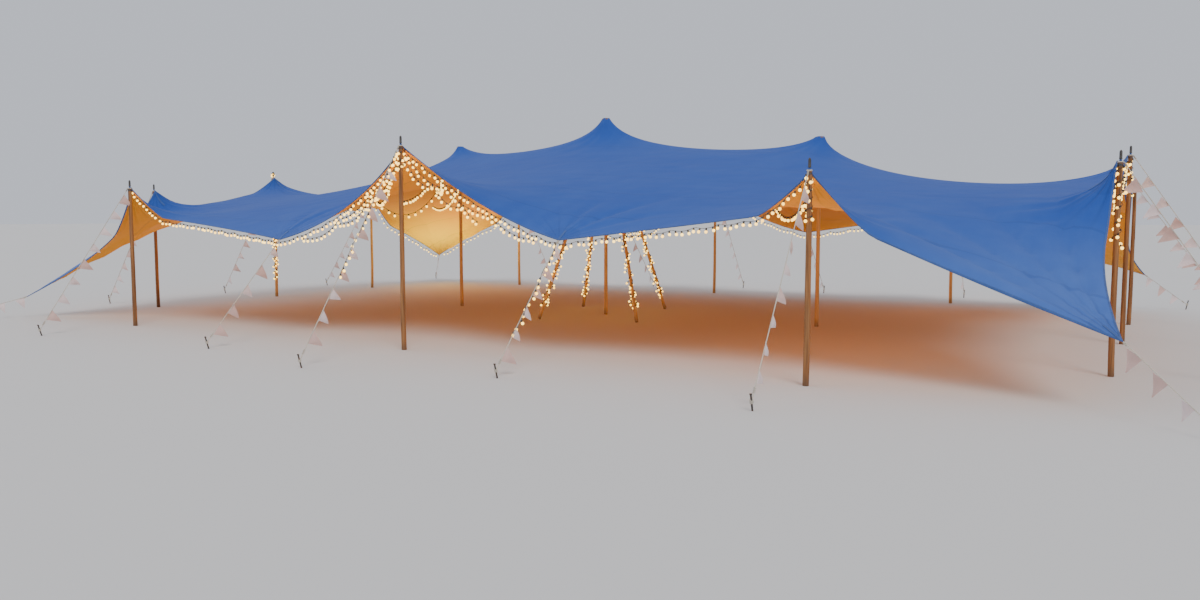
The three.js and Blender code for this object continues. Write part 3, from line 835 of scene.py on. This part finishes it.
def repeat_tree():
    """Sets copies of a shape along lines: evenly spaced, turned with them or hanging, each a bit uneven."""
    if REPEAT in bpy.data.node_groups:
        return bpy.data.node_groups[REPEAT]
    tree = bpy.data.node_groups.new(REPEAT, "GeometryNodeTree")
    for name, kind in REPEAT_INPUTS:
        tree.interface.new_socket(name, in_out="INPUT", socket_type=kind)
    tree.interface.new_socket("Geometry", in_out="OUTPUT", socket_type="NodeSocketGeometry")
    inlet = tree.nodes.new("NodeGroupInput").outputs
    lines, shape, spacing, follow, tilt, spread, seed, material = (
        Shade(tree, inlet[name]) for name, _ in REPEAT_INPUTS)
    put = Shade(tree).node
    curve = put("GeometryNodeMeshToCurve", {}, {"Mesh": lines})
    points = put("GeometryNodeResampleCurve", {"mode": "LENGTH"}, {"Curve": curve, "Length": spacing})
    x, y, z = put("GeometryNodeInputTangent").axes()
    heading = y.maths("ARCTAN2", x) * follow
    pitch = z.maths("ARCSINE") * (follow * -1.0)
    aim = put("ShaderNodeCombineXYZ", {}, {1: pitch, 2: heading})
    uneven = put("FunctionNodeRandomValue", {"data_type": "FLOAT_VECTOR"},
                 {0: (-1, -1, -1), 1: (1, 1, 1), "Seed": seed})
    sway = put("ShaderNodeVectorMath", {"operation": "SCALE"}, {0: uneven, "Scale": tilt})
    turn = put("ShaderNodeVectorMath", {"operation": "ADD"}, {0: aim, 1: sway})
    turn = put("FunctionNodeEulerToRotation", {}, {0: turn})
    tint = put("FunctionNodeRandomValue", {"data_type": "FLOAT"}, {"Seed": seed}, 1)
    copied = put("GeometryNodeObjectInfo", {}, {"Object": shape}, "Geometry")
    copies = put("GeometryNodeInstanceOnPoints", {}, {
        "Points": points, "Instance": copied, "Rotation": turn, "Scale": (tint - 0.5) * spread + 1.0})
    marked = put("GeometryNodeStoreNamedAttribute", {"data_type": "FLOAT", "domain": "INSTANCE"},
                 {"Geometry": copies, "Name": "tint", "Value": tint})
    real = put("GeometryNodeRealizeInstances", {}, {"Geometry": marked})
    done = put("GeometryNodeSetMaterial", {}, {"Geometry": real, "Material": material})
    done.fill(tree.nodes.new("NodeGroupOutput"), {"Geometry": done})
    return tree


def repeated(name, lines, shape, kind, spacing, follow=0.0, tilt=0.0, spread=0.0, seed=1):
    """Copies of a shape along lines, as one plain mesh."""
    points, edges = [], []
    for line in lines:
        edges += [(k, k + 1) for k in range(len(points), len(points) + len(line) - 1)]
        points += np.asarray(line).tolist()
    mesh = bpy.data.meshes.new(name)
    mesh.from_pydata(points, edges, [])
    made = linked(name, mesh)
    modifier = made.modifiers.new("Repeat", "NODES")
    modifier.node_group = repeat_tree()
    values = {"Shape": shape, "Spacing": spacing, "Follow": follow, "Tilt": tilt, "Size Spread": spread,
              "Seed": seed, "Material": finish_of(kind)}
    for item in modifier.node_group.interface.items_tree:
        if item.in_out == "INPUT" and item.name in values:
            modifier[item.identifier] = values[item.name]
    bpy.context.view_layer.update()
    graph = bpy.context.evaluated_depsgraph_get()
    solid = made.evaluated_get(graph)
    result = bpy.data.meshes.new_from_object(solid, preserve_all_data_layers=True, depsgraph=graph)
    made.modifiers.clear()
    made.data = result
    if not len(result.polygons):
        raise RuntimeError(f"{name} came out empty")
    return made


def pattern(name, build):
    """A small shape that is copied: made once, and kept out of the scene."""
    if name not in bpy.data.objects:
        stock = Stock()
        build(stock)
        bpy.context.scene.collection.objects.unlink(stock.object(name))
    return bpy.data.objects[name]


# ---- Light strings ----

def bulb_profile(size):
    r = size / 2
    turns = [math.radians(degrees) for degrees in (-60, -28, 6, 38, 66)]
    glass = [(r * math.cos(turn), -BULB_DROP - 1.1 * r + r * math.sin(turn)) for turn in turns]
    return [(0.001, -BULB_DROP - 2.1 * r), *glass, (0.008, -BULB_DROP + 0.002)]


def light_string(name, paths, seed, tilt=0.35, spacing=None, nodes=()):
    """A string of lights: its cable, its bulb holders and its bulbs."""
    lights = bpy.context.scene.tent_lights
    stock = Stock()
    for path in paths:
        stock.tube(path, CABLE_RADIUS, 6)
    stock.piece(f"{name}_cable", ["cable"], "light_cable", *nodes)
    holder = pattern("holder_pattern", lambda stock: stock.turned(HOLDER, 7))
    bulb = pattern("bulb_pattern", lambda stock: stock.turned(bulb_profile(lights.bulb_size), 8))
    pitch = spacing or lights.spacing
    for part, shape, kind in (("holders", holder, "cable"), ("bulbs", bulb, "bulb")):
        placed(repeated(f"{name}_{part}", paths, shape, kind, pitch, tilt=tilt, seed=seed), "light_cable")


def swagged(path, clip, deep):
    """A path hung from clips, which dips between them."""
    gone = lengths(path)
    fine = np.linspace(0, gone[-1], max(2, int(gone[-1] / 0.06)))
    line = np.stack([np.interp(fine, gone, path[:, k]) for k in range(3)], 1)
    share = (fine / clip) % 1
    line[:, 2] -= deep * 4 * share * (1 - share) * (np.sin(fine * 2.3) * 0.3 + 1)
    return line


def hung(a, b, sag):
    """A cable hung between two points."""
    share = np.linspace(0, 1, 40)
    line = between(np.array(a, float), b, share)
    line[:, 2] -= sag * 4 * share * (1 - share)
    return line


def edge_line(edge, first, last, drop):
    """A line under an edge of the sheet, from one place along it to another."""
    at = np.linspace(first, last, max(2, int(abs(last - first) / 0.08)))
    x, y = next(out for each, out in EDGES if each is edge)
    return sheet.at(x * HALF_LENGTH or at, y * HALF_WIDTH or at) - (0, 0, drop)


def pole_line(name):
    """The axis of a pole, from its foot to its shoulder or to the top of a peak pole."""
    low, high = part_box(name)
    middle = np.array([(low.x + high.x) / 2, (low.y + high.y) / 2, 0.0])
    return middle, middle + (0, 0, high.z - (0 if name.endswith("_peak_pole") else SPIKE_HEIGHT))


def leg_axis(degrees):
    turn = math.radians(degrees)
    out = np.array([math.cos(turn), math.sin(turn), 0.0])
    return out * LEG_SPREAD, out * LEG_GATHER + (0, 0, LEG_TOP)


def guy_foot(anchor):
    """The ground under a held point of the sheet."""
    return sheet.at(*anchor.tip[:2]) * (1, 1, 0)


def guy_line(anchor):
    """The rope of a guy, from the sheet or the eye on its pole to the stake."""
    tip = guy_foot(anchor) + (0, 0, anchor.tip[2])
    tie = guy_foot(anchor) + anchor.out * (anchor.reach + STAKE_LEAN * STAKE_TIE) + (0, 0, STAKE_TIE)
    if anchor.ear:
        return tip + anchor.out * (2 * EYE_OUTER + SEAT - EYE_BITE), tie
    away = unit(tie - tip)
    return tip + away * (UNDERSIDE * abs(away[2]) + SEAT), tie


# ---- Operators ----

class TENT_OT_stage(bpy.types.Operator):
    """Set the floor, the light and the camera"""
    bl_idname = "tent.stage"
    bl_label = "Stage"

    def execute(self, context):
        scene = context.scene
        stock = Stock()
        corners = [(x * FLOOR_REACH, y * FLOOR_REACH, 0) for x, y in ((-1, -1), (1, -1), (1, 1), (-1, 1))]
        stock.add(corners, corners, [(0, 1, 2, 3)])
        stock.object("floor", ["floor"])
        scene.world = bpy.data.worlds.new("studio")
        scene.world.use_nodes = True
        sky = scene.world.node_tree.nodes["Background"]
        sky.inputs["Color"].default_value = (0.86, 0.90, 1.0, 1)
        sky.inputs["Strength"].default_value = 0.75
        for k, (x, y, power, tone) in enumerate(LAMPS):
            lamp = self.light(f"warm_{k + 1}", "AREA", power, tone, (180, 0, 0), shape="DISK", size=LAMP_SIZE)
            lamp.location = (x, y, LAMP_HEIGHT)
            lamp.visible_camera = False
        self.light("key", "SUN", 1.9, (1.0, 0.97, 0.93), (48, 8, 35), angle=math.radians(25))
        self.light("fill", "SUN", 0.7, (0.9, 0.95, 1.0), (62, 0, -70), angle=math.radians(60))
        camera = linked("camera", bpy.data.cameras.new("camera"))
        camera.data.lens = scene.tent_stage.lens
        camera.data.sensor_width = 36
        camera.data.sensor_fit = "HORIZONTAL"
        camera.data.clip_end = 500
        camera.location = CAMERA_PLACE
        down = math.radians(CAMERA_TILT)
        look = Vector((*(part * math.cos(down) for part in CAMERA_HEADING), -math.sin(down)))
        camera.rotation_euler = look.to_track_quat("-Z", "Y").to_euler()
        scene.camera = camera
        return {"FINISHED"}

    def light(self, name, kind, power, tone, turn, **settings):
        data = bpy.data.lights.new(name, kind)
        data.energy, data.color = power, tone
        for key, value in settings.items():
            setattr(data, key, value)
        lamp = linked(name, data)
        lamp.rotation_euler = [math.radians(part) for part in turn]
        return lamp


class TENT_OT_canopy(bpy.types.Operator):
    """Make the stretched cloth, its webbing hem, its straps and its stitches"""
    bl_idname = "tent.canopy"
    bl_label = "Canopy"

    def execute(self, context):
        cloth = context.scene.tent_cloth
        stock = Stock()
        stock.slab(sheet.place, sheet.place - cloth.thickness * sheet.normal)
        stock.grain = [sheet.cut.reshape(-1, 3)] * 2
        quads = (len(sheet.xs) - 1) * (len(sheet.ys) - 1)
        stock.finishes[:4 * quads] = [0, 0, 1, 1] * quads
        canopy = stock.object("stretch_canopy", ["outside", "inside"], 60, "cut")
        mark(canopy.data, "pull", [sheet.pull.reshape(-1, 3)] * 2)
        hem, stitches = self.hem(cloth)
        straps = self.straps()
        placed(canopy, "canopy_cloth", "canopy")
        for piece in (hem, stitches, straps):
            placed(piece, "canopy_cloth")
        return {"FINISHED"}

    def rim(self, inset):
        """The sheet's border as points of the cut, at a distance in from the edge."""
        far_x, far_y = HALF_LENGTH - inset, HALF_WIDTH - inset
        x, y = np.clip(sheet.xs, -far_x, far_x), np.clip(sheet.ys, -far_y, far_y)
        sides = [(x, x * 0 - far_y), (y * 0 + far_x, y), (x[::-1], x * 0 + far_y), (y * 0 - far_x, y[::-1])]
        return np.concatenate([np.stack(side, 1)[:-1] for side in sides]).T

    def hem(self, cloth):
        """Webbing folded over the edge, and its stitches in a row on each face."""
        edge, inner = self.rim(0.0), self.rim(cloth.hem_width)
        edge_top, inner_top = sheet.at(*edge, HEM_TOP[0]), sheet.at(*inner, HEM_TOP[1])
        edge_low, inner_low = sheet.at(*edge, HEM_LOW[0]), sheet.at(*inner, HEM_LOW[1])
        middle = (edge_top + edge_low) / 2
        outer = middle + HEM_BULGE * unit(middle - (inner_top + inner_low) / 2)
        rings = np.stack([inner_low, edge_low, outer, edge_top, inner_top], 1)
        stock = Stock()
        stock.rings(rings, rings, closed=True)
        hem = stock.object("canopy_hem", ["webbing"], 70)
        stitch = pattern("stitch_pattern", lambda stock: stock.tube(STITCH, 0.0016, 5))
        row = self.rim(STITCH_INSET * cloth.hem_width)
        row = np.hstack([row, row[:, :1]])
        lines = [sheet.at(*row, lift) for lift in STITCH_LIFTS]
        return hem, repeated("hem_stitches", lines, stitch, "thread", cloth.stitch_pitch, follow=1.0)

    def straps(self):
        """A strap sewn in at each held point, and the loop that drops over each pole's spike."""
        stock = Stock()
        for anchor in ANCHORS:
            _, tip, out, side, ear, _ = anchor
            along = np.linspace(0, EAR_STRAP if ear else LOW_STRAP, 9)[:, None]
            aside = np.linspace(-STRAP_HALF, STRAP_HALF, 5)
            x, y = (tip[k] - out[k] * along + side[k] * aside for k in (0, 1))
            for finish, (top, low) in enumerate(STRAP_FACES):
                stock.slab(sheet.at(x, y, top)[:, ::-1], sheet.at(x, y, low)[:, ::-1], finish)
            if ear:
                centre = tip + out * (EYE_OUTER + SEAT)
                rings = np.stack([centre + level_ring(r, z, 24) for r, z in LOOP], 1)
                stock.rings(rings, rings, closed=True)
                # The band runs from the strap over the sheet's tip to the loop.
                band = np.array([sheet.at(*(tip - 0.10 * out)[:2], 0.006), tip + (0, 0, 0.010),
                                 centre + (0, 0, 0.0235) - 0.018 * out])
                grid = np.stack([band - BAND_HALF * side, band + BAND_HALF * side], 1)
                stock.slab(grid + (0, 0, BAND_THICK), grid)
        return stock.object("ear_straps", ["webbing", "under webbing"], 50)


def add_pole(stock, low, high, radii, bow, seed):
    """A peeled round pole: it tapers, bends a little, and swells at its knots."""
    tall = np.linalg.norm(high - low)
    axis = (high - low) / tall
    side, up = crosswise(axis, (0.2, 1.0, 0.1))
    dice = np.random.default_rng(seed)
    knots = [(dice.uniform(0.12, 0.93) * tall, dice.uniform(0, 2 * math.pi))
             for _ in range(int(tall * KNOTS_PER_METRE))]
    bend = dice.uniform(0, 2 * math.pi)
    bent = bow * (math.cos(bend) * side + math.sin(bend) * up)
    along = np.concatenate([[0, 0.006], np.linspace(0.03, tall - 0.03, int(tall / RING_PITCH)),
                            [tall - 0.006, tall - 0.0018, tall]])
    trims = [0.92] + [1] * (len(along) - 3) + [0.95, 0.82]  # rounds both ends
    turn = around(20)
    rings, grain = [], []
    for far, trim in zip(along, trims):
        share = far / tall
        swell = 0.988 + 0.010 * np.sin(2 * turn + 3 * share + seed) + 0.006 * np.sin(3 * turn - 11 * share)
        for place, facing in knots:
            near = np.exp(-(((far - place) / KNOT_LENGTH) ** 2)) * np.exp(4.4 * (np.cos(turn - facing) - 1))
            swell += KNOT_SWELL * near
        r = (radii[0] + (radii[1] - radii[0]) * share) * trim * swell
        x, y = r * np.cos(turn), r * np.sin(turn)
        wave = math.sin(math.pi * share) + 0.25 * math.sin(3 * math.pi * share)
        rings.append(low + axis * far + wave * bent + np.outer(x, side) + np.outer(y, up))
        grain.append(np.stack([x + seed, y, 0 * turn + far], 1))
    stock.rings(rings, grain)


class TENT_OT_edge_poles(bpy.types.Operator):
    """Make the poles round the edge, each with its steel spike"""
    bl_idname = "tent.edge_poles"
    bl_label = "Edge poles"

    def execute(self, context):
        for seed, anchor in enumerate((each for each in ANCHORS if each.ear), EDGE_SEED):
            node = f"{anchor.name}_pole"
            low, high = pole_line(node)
            stock = Stock()
            add_pole(stock, low, high, POLE_RADII, context.scene.tent_poles.bow, seed)
            for profile, sides, finish in ((PIN, 16, 1), (COLLAR, 24, 1), (SLEEVE, 20, 2)):
                stock.turned(profile, sides, high, finish)
            # Painted light: the poles in the warm glow get the paler, warmer copy of the wood; the others
            # keep the darker one.
            wood = "dry wood" if node.startswith(("back", "left_middle", "left_back")) else "wood"
            stock.piece(f"{node}_dressed", [wood, "steel", "cable"], "pole_wood", node)
        return {"FINISHED"}


class TENT_OT_inner_peaks(bpy.types.Operator):
    """Make the poles under the peaks and the turned caps that the cloth lies on"""
    bl_idname = "tent.inner_peaks"
    bl_label = "Inner peaks"

    def execute(self, context):
        for seed, (name, (x, _)) in enumerate(PEAKS.items(), PEAK_SEED):
            node, cap = f"{name}_peak_pole", f"{name}_peak_cap"
            bow = 0.0 if name == "centre" else context.scene.tent_poles.bow
            stock = Stock()
            add_pole(stock, *pole_line(node), POLE_RADII, bow, seed)
            # Painted light: the paler, warmer copy of the wood, for the lamplight under the sheet.
            stock.piece(f"{node}_dressed", ["dry wood"], "pole_wood", node)
            stock = Stock()
            stock.turned(CAP, 56, (x, 0, CAP_TOP[name] - CAP_HEIGHT))
            stock.piece(f"{cap}_turned", ["cap"], "cap_wood", cap, sharp=30)
        return {"FINISHED"}


class TENT_OT_leaning_legs(bpy.types.Operator):
    """Make the four legs that lean round the centre pole, and the rope that binds them"""
    bl_idname = "tent.leaning_legs"
    bl_label = "Leaning legs"

    def execute(self, context):
        low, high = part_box("leg_band")
        ends = low.z + LASHING_RADIUS, high.z - LASHING_RADIUS
        slope = (LEG_SPREAD - LEG_GATHER) / LEG_TOP
        wide = tuple(LEG_GATHER + slope * (LEG_TOP - z) + LEG_RADII[1] + LASHING_RADIUS for z in ends)
        lashing = Stock()
        wound = spiral((0, 0, ends[0]), (0, 0, ends[1]), wide, LASHING_TURNS, 48)
        lashing.tube(wound, LASHING_RADIUS, 8)
        for k, degrees in enumerate(LEG_BEARINGS):
            foot, head = leg_axis(degrees)
            axis = unit(head - foot)
            stock = Stock()
            add_pole(stock, foot + axis * 0.02, head - axis * 0.012, LEG_RADII, LEG_BOW, k + LEG_SEED)
            stock.points[0][:, 2] = np.maximum(stock.points[0][:, 2], 0.0)
            node = f"centre_leg_{k + 1}"
            # Painted light: the paler, warmer copy of the wood, for the lamplight under the sheet.
            stock.piece(f"{node}_dressed", ["dry wood"], "pole_wood", node)
            out = foot / LEG_SPREAD
            side = np.array([-out[1], out[0], 0])
            centre = between(foot, head, (low.z + high.z) / 2 / LEG_TOP)
            for shift in LOOP_SHIFTS:
                middle = centre + side * (LOOP_ASIDE + shift * 0.2) + (0, 0, shift)
                loop = ring(middle, LOOP_WIDE * out, (0, 0, LOOP_TALL), 22)
                lashing.tube(loop, LOOP_RADIUS, 7, closed=True)
        lashing.piece("leg_lashing", ["rope"], "guy_rope", "leg_band")
        return {"FINISHED"}


class TENT_OT_guys(bpy.types.Operator):
    """Make the guy ropes, with their eyes, knots and stakes"""
    bl_idname = "tent.guys"
    bl_label = "Guys"

    def execute(self, context):
        radius = context.scene.tent_ropes.thickness / 2
        for anchor in ANCHORS:
            start, tie = guy_line(anchor)
            away = unit(tie - start)
            stock = Stock()
            stock.tube(between(start, tie, np.linspace(0, 1, 40)), radius, 8)
            if anchor.ear:
                self.eye(stock, anchor)
            self.bind(stock, radius, start, away, *(EYE_WINDING if anchor.ear else END_WINDING))
            self.stake(stock, anchor, radius)
            self.bind(stock, radius, tie, away, *STAKE_WINDING)
            stock.piece(f"{anchor.name}_guy_dressed", ["rope", "steel"], "guy_rope", f"{anchor.name}_guy")
        return {"FINISHED"}

    def bind(self, stock, radius, origin, away, first, last, thick, turns, per_turn, sides):
        """Wind a thin cord round a stretch of the rope."""
        path = spiral(origin + away * first, origin + away * last, radius + thick, turns, per_turn)
        stock.tube(path, thick, sides)

    def eye(self, stock, anchor):
        """A rope eye with a steel thimble, round the spike."""
        centre = anchor.tip + anchor.out * (EYE_OUTER + SEAT)
        for wide, thick, lift, finish in EYE_RINGS:
            stock.tube(centre + level_ring(wide, lift, 32), thick, 8, finish, closed=True)

    def stake(self, stock, anchor, radius):
        """A leaning steel stake with a beaten head, and the rope's turns round it."""
        out, side = anchor.out, anchor.side
        lean = out * STAKE_LEAN + (0, 0, 1)
        foot = guy_foot(anchor) + out * anchor.reach
        rings = np.array([ring(foot + lean * z, r * side, r * out, 12) for r, z in STAKE])[:, ::-1]
        stock.rings(rings, rings, 1)
        first, last, turns, per_turn = STAKE_TURNS
        wide = STAKE_RADIUS + 0.9 * radius
        stock.tube(spiral(foot + lean * first, foot + lean * last, wide, turns, per_turn), radius, 8)


class TENT_OT_bunting(bpy.types.Operator):
    """Hang the flags along the guy ropes"""
    bl_idname = "tent.bunting"
    bl_label = "Bunting"

    def execute(self, context):
        bunting = context.scene.tent_bunting
        wide, tall = bunting.flag_width, bunting.flag_height
        down, across = np.meshgrid(np.linspace(0, 1, 6), np.linspace(-1, 1, 5), indexing="ij")
        billow = 0.020 * np.sin(2.6 * down) * (1 - 0.5 * across ** 2) + 0.007 * np.sin(5 * down + 2 * across)
        top = np.stack([(wide / 2 * (1 - down) + 0.002) * across, billow, -0.008 - tall * down], -1)
        shape = pattern("flag_pattern", lambda stock: stock.slab(top, top + (0, 0.0016, 0)))
        lines = []
        for k, anchor in enumerate(ANCHORS):
            start, tie = guy_line(anchor)
            last = min(0.9, (start[2] - 1.25 * tall - 0.03) / (start[2] - tie[2]))
            first = min(0.08 + 0.03 * (k % 3), last - 0.2)
            lines.append(between(start, tie, np.linspace(first, last, 12)))
        flags = repeated("bunting_flags", lines, shape, "flag", bunting.spacing, follow=1.0, tilt=0.16,
                         spread=0.25, seed=7)
        count = len(flags.data.vertices) // len(shape.data.vertices)
        placed(flags, "guy_rope")
        wide * count
        0.5 * wide * tall * count
        return {"FINISHED"}


class TENT_OT_light_strings(bpy.types.Operator):
    """String the lights along the edges, round the poles and legs, and down two of the guys"""
    bl_idname = "tent.light_strings"
    bl_label = "Light strings"

    def execute(self, context):
        self.edges()
        self.poles_and_legs()
        self.guys_and_swags()
        return {"FINISHED"}

    def edges(self):
        """Along the edges: each run's first and last place, its drop, and the pitch and depth of its dips."""
        for name, seed, spacing, runs in (
            ("front_edge", 2, None, [(FRONT, FRONT[1].at, FRONT[5].at, 0.045, 0.4, 0.03)]),
            ("centre_gable", 3, None, [
                (FRONT, -2.6, -0.05, 0.13, 1.0, 0.09), (FRONT, -1.7, -0.05, 0.22, 0.9, 0.10),
                (FRONT, 0.05, 2.7, 0.12, 1.0, 0.10), (FRONT, 0.05, 1.5, 0.24, 0.7, 0.12)]),
            ("back_edge", 4, None, [
                (BACK, BACK[1].at, BACK[5].at, 0.06, 0.6, 0.05), (BACK, -6.6, -0.4, 0.15, 1.2, 0.14)]),
            ("far_corner", 12, 0.19, [
                (LEFT, LEFT[5].at, HALF_WIDTH - 0.2, 0.06, 0.7, 0.05),
                (BACK, 0.3 - HALF_LENGTH, BACK[1].at, 0.06, 0.7, 0.05)]),
            ("side_edges", 5, None, [
                (LEFT, LEFT[5].at, 0.05, 0.06, 0.7, 0.05),
                (RIGHT, RIGHT[1].at, RIGHT[3].at, 0.07, 0.6, 0.06)]),
        ):
            paths = [swagged(edge_line(*run), clip, deep) for *run, clip, deep in runs]
            solids = ["front_light_cable"] if name == "front_edge" else []
            light_string(name, paths, seed, spacing=spacing, nodes=solids)

    def poles_and_legs(self):
        """Wound round the legs, the poles and the left_middle pole's tip."""
        legs = []
        for k, degrees in enumerate(LEG_BEARINGS):
            low, high = between(*leg_axis(degrees), (0.08, 0.93))
            legs += [spiral(low, high, (0.052, 0.044), 8 + turn, 16, 1.3 * k + 2.6 * turn) for turn in (0, 1)]
        light_string("leg", legs, seed=6, tilt=1.2, spacing=0.09)
        poles = []
        for k, (name, first, last, turns) in enumerate((
            ("left_middle", 0.13, 0.97, 14), ("left_middle", 0.15, 0.62, 9), ("front_right", 0.78, 0.985, 5),
            ("front_centre", 0.90, 0.985, 2.5), ("right_front", 0.62, 0.985, 6),
            ("right_middle", 0.80, 0.985, 4), ("back_left", 0.88, 0.98, 2.5),
        )):
            low, high = between(*pole_line(f"{name}_pole"), (first, last))
            poles.append(spiral(low, high, (0.054, 0.050), turns, 16, k))
        shoulder = pole_line("left_middle_pole")[1]
        poles.append(spiral(shoulder + (0, 0, 0.06), shoulder + (0, 0, 0.165), 0.030, 3.5))
        light_string("pole", poles, seed=8, tilt=1.0, spacing=0.11)

    def guys_and_swags(self):
        """Down two of the guys, and hung under the centre gable and the peaks."""
        guys = []
        for anchor in ANCHORS:
            if anchor.name in ("front_centre", "front_right_low"):
                share = np.linspace(0.03, 0.62 if anchor.ear else 0.72, 60)
                round_rope = 0.016 * np.outer(np.cos(share * 26), anchor.side)
                up = np.outer(0.01 * np.sin(share * 26) - 0.004, (0, 0, 1))
                guys.append(between(*guy_line(anchor), share) + round_rope + up)
        light_string("guy", guys, seed=9, tilt=0.6, spacing=0.115)
        under = -0.03
        swags = [hung(sheet.at(*a), sheet.at(*b), sag) for a, b, sag in (
            ((-1.95, -5.9, under), (-0.85, -5.25, under), 0.40),
            ((-0.85, -5.25, under), (0.7, -7.1, under), 0.16),
            ((-1.95, -5.9, under), (-0.45, -7.1, under), 0.22),
            ((-0.3, -7.15, -0.05), (-1.05, -7.2, -0.05), 0.26),
            ((7.2, -6.9, -0.06), (6.1, -5.2, under), 0.22),
            ((-4.4, 0.4, under), (-8.0, 3.2, under), 0.5),
        )]
        light_string("swag", swags, seed=10, tilt=0.3, spacing=0.13)
        inward = hung((-0.05, -HALF_WIDTH, 2.65), sheet.at(-1.7, -4.7, under), 0.06)
        light_string("inward", [inward], seed=11, tilt=0.3, spacing=0.34)


class TENT_PT_panel(bpy.types.Panel):
    """The tent's pieces and their settings"""
    bl_idname = "TENT_PT_panel"
    bl_label = "Stretch Tent"
    bl_space_type = "VIEW_3D"
    bl_region_type = "UI"
    bl_category = "Stretch Tent"

    def draw(self, context):
        for title, (group, steps) in GROUPS.items():
            box = self.layout.box()
            box.label(text=title)
            for key in group.__annotations__:
                box.prop(getattr(context.scene, f"tent_{title.lower()}"), key)
            for step in steps:
                box.operator(f"tent.{step}")


GROUPS = {
    "Stage": (TentStageSettings, ["stage"]),
    "Cloth": (TentClothSettings, ["canopy"]),
    "Poles": (TentPoleSettings, ["edge_poles", "inner_peaks", "leaning_legs"]),
    "Ropes": (TentRopeSettings, ["guys"]),
    "Bunting": (TentBuntingSettings, ["bunting"]),
    "Lights": (TentLightSettings, ["light_strings"]),
}
TOOLS = (TENT_OT_stage, TENT_OT_canopy, TENT_OT_edge_poles, TENT_OT_inner_peaks, TENT_OT_leaning_legs,
         TENT_OT_guys, TENT_OT_bunting, TENT_OT_light_strings, TENT_PT_panel)


def register():
    for title, (group, _) in GROUPS.items():
        bpy.utils.register_class(group)
        setattr(bpy.types.Scene, f"tent_{title.lower()}", bpy.props.PointerProperty(type=group))
    for tool in TOOLS:
        bpy.utils.register_class(tool)


def unregister():
    for tool in reversed(TOOLS):
        bpy.utils.unregister_class(tool)
    for title, (group, _) in reversed(GROUPS.items()):
        delattr(bpy.types.Scene, f"tent_{title.lower()}")
        bpy.utils.unregister_class(group)


def main():
    register()
    bpy.ops.tent.stage()
    bpy.ops.tent.canopy()
    bpy.ops.tent.edge_poles()
    bpy.ops.tent.inner_peaks()
    bpy.ops.tent.leaning_legs()
    bpy.ops.tent.guys()
    bpy.ops.tent.bunting()
    bpy.ops.tent.light_strings()


if __name__ == "__main__":
    main()
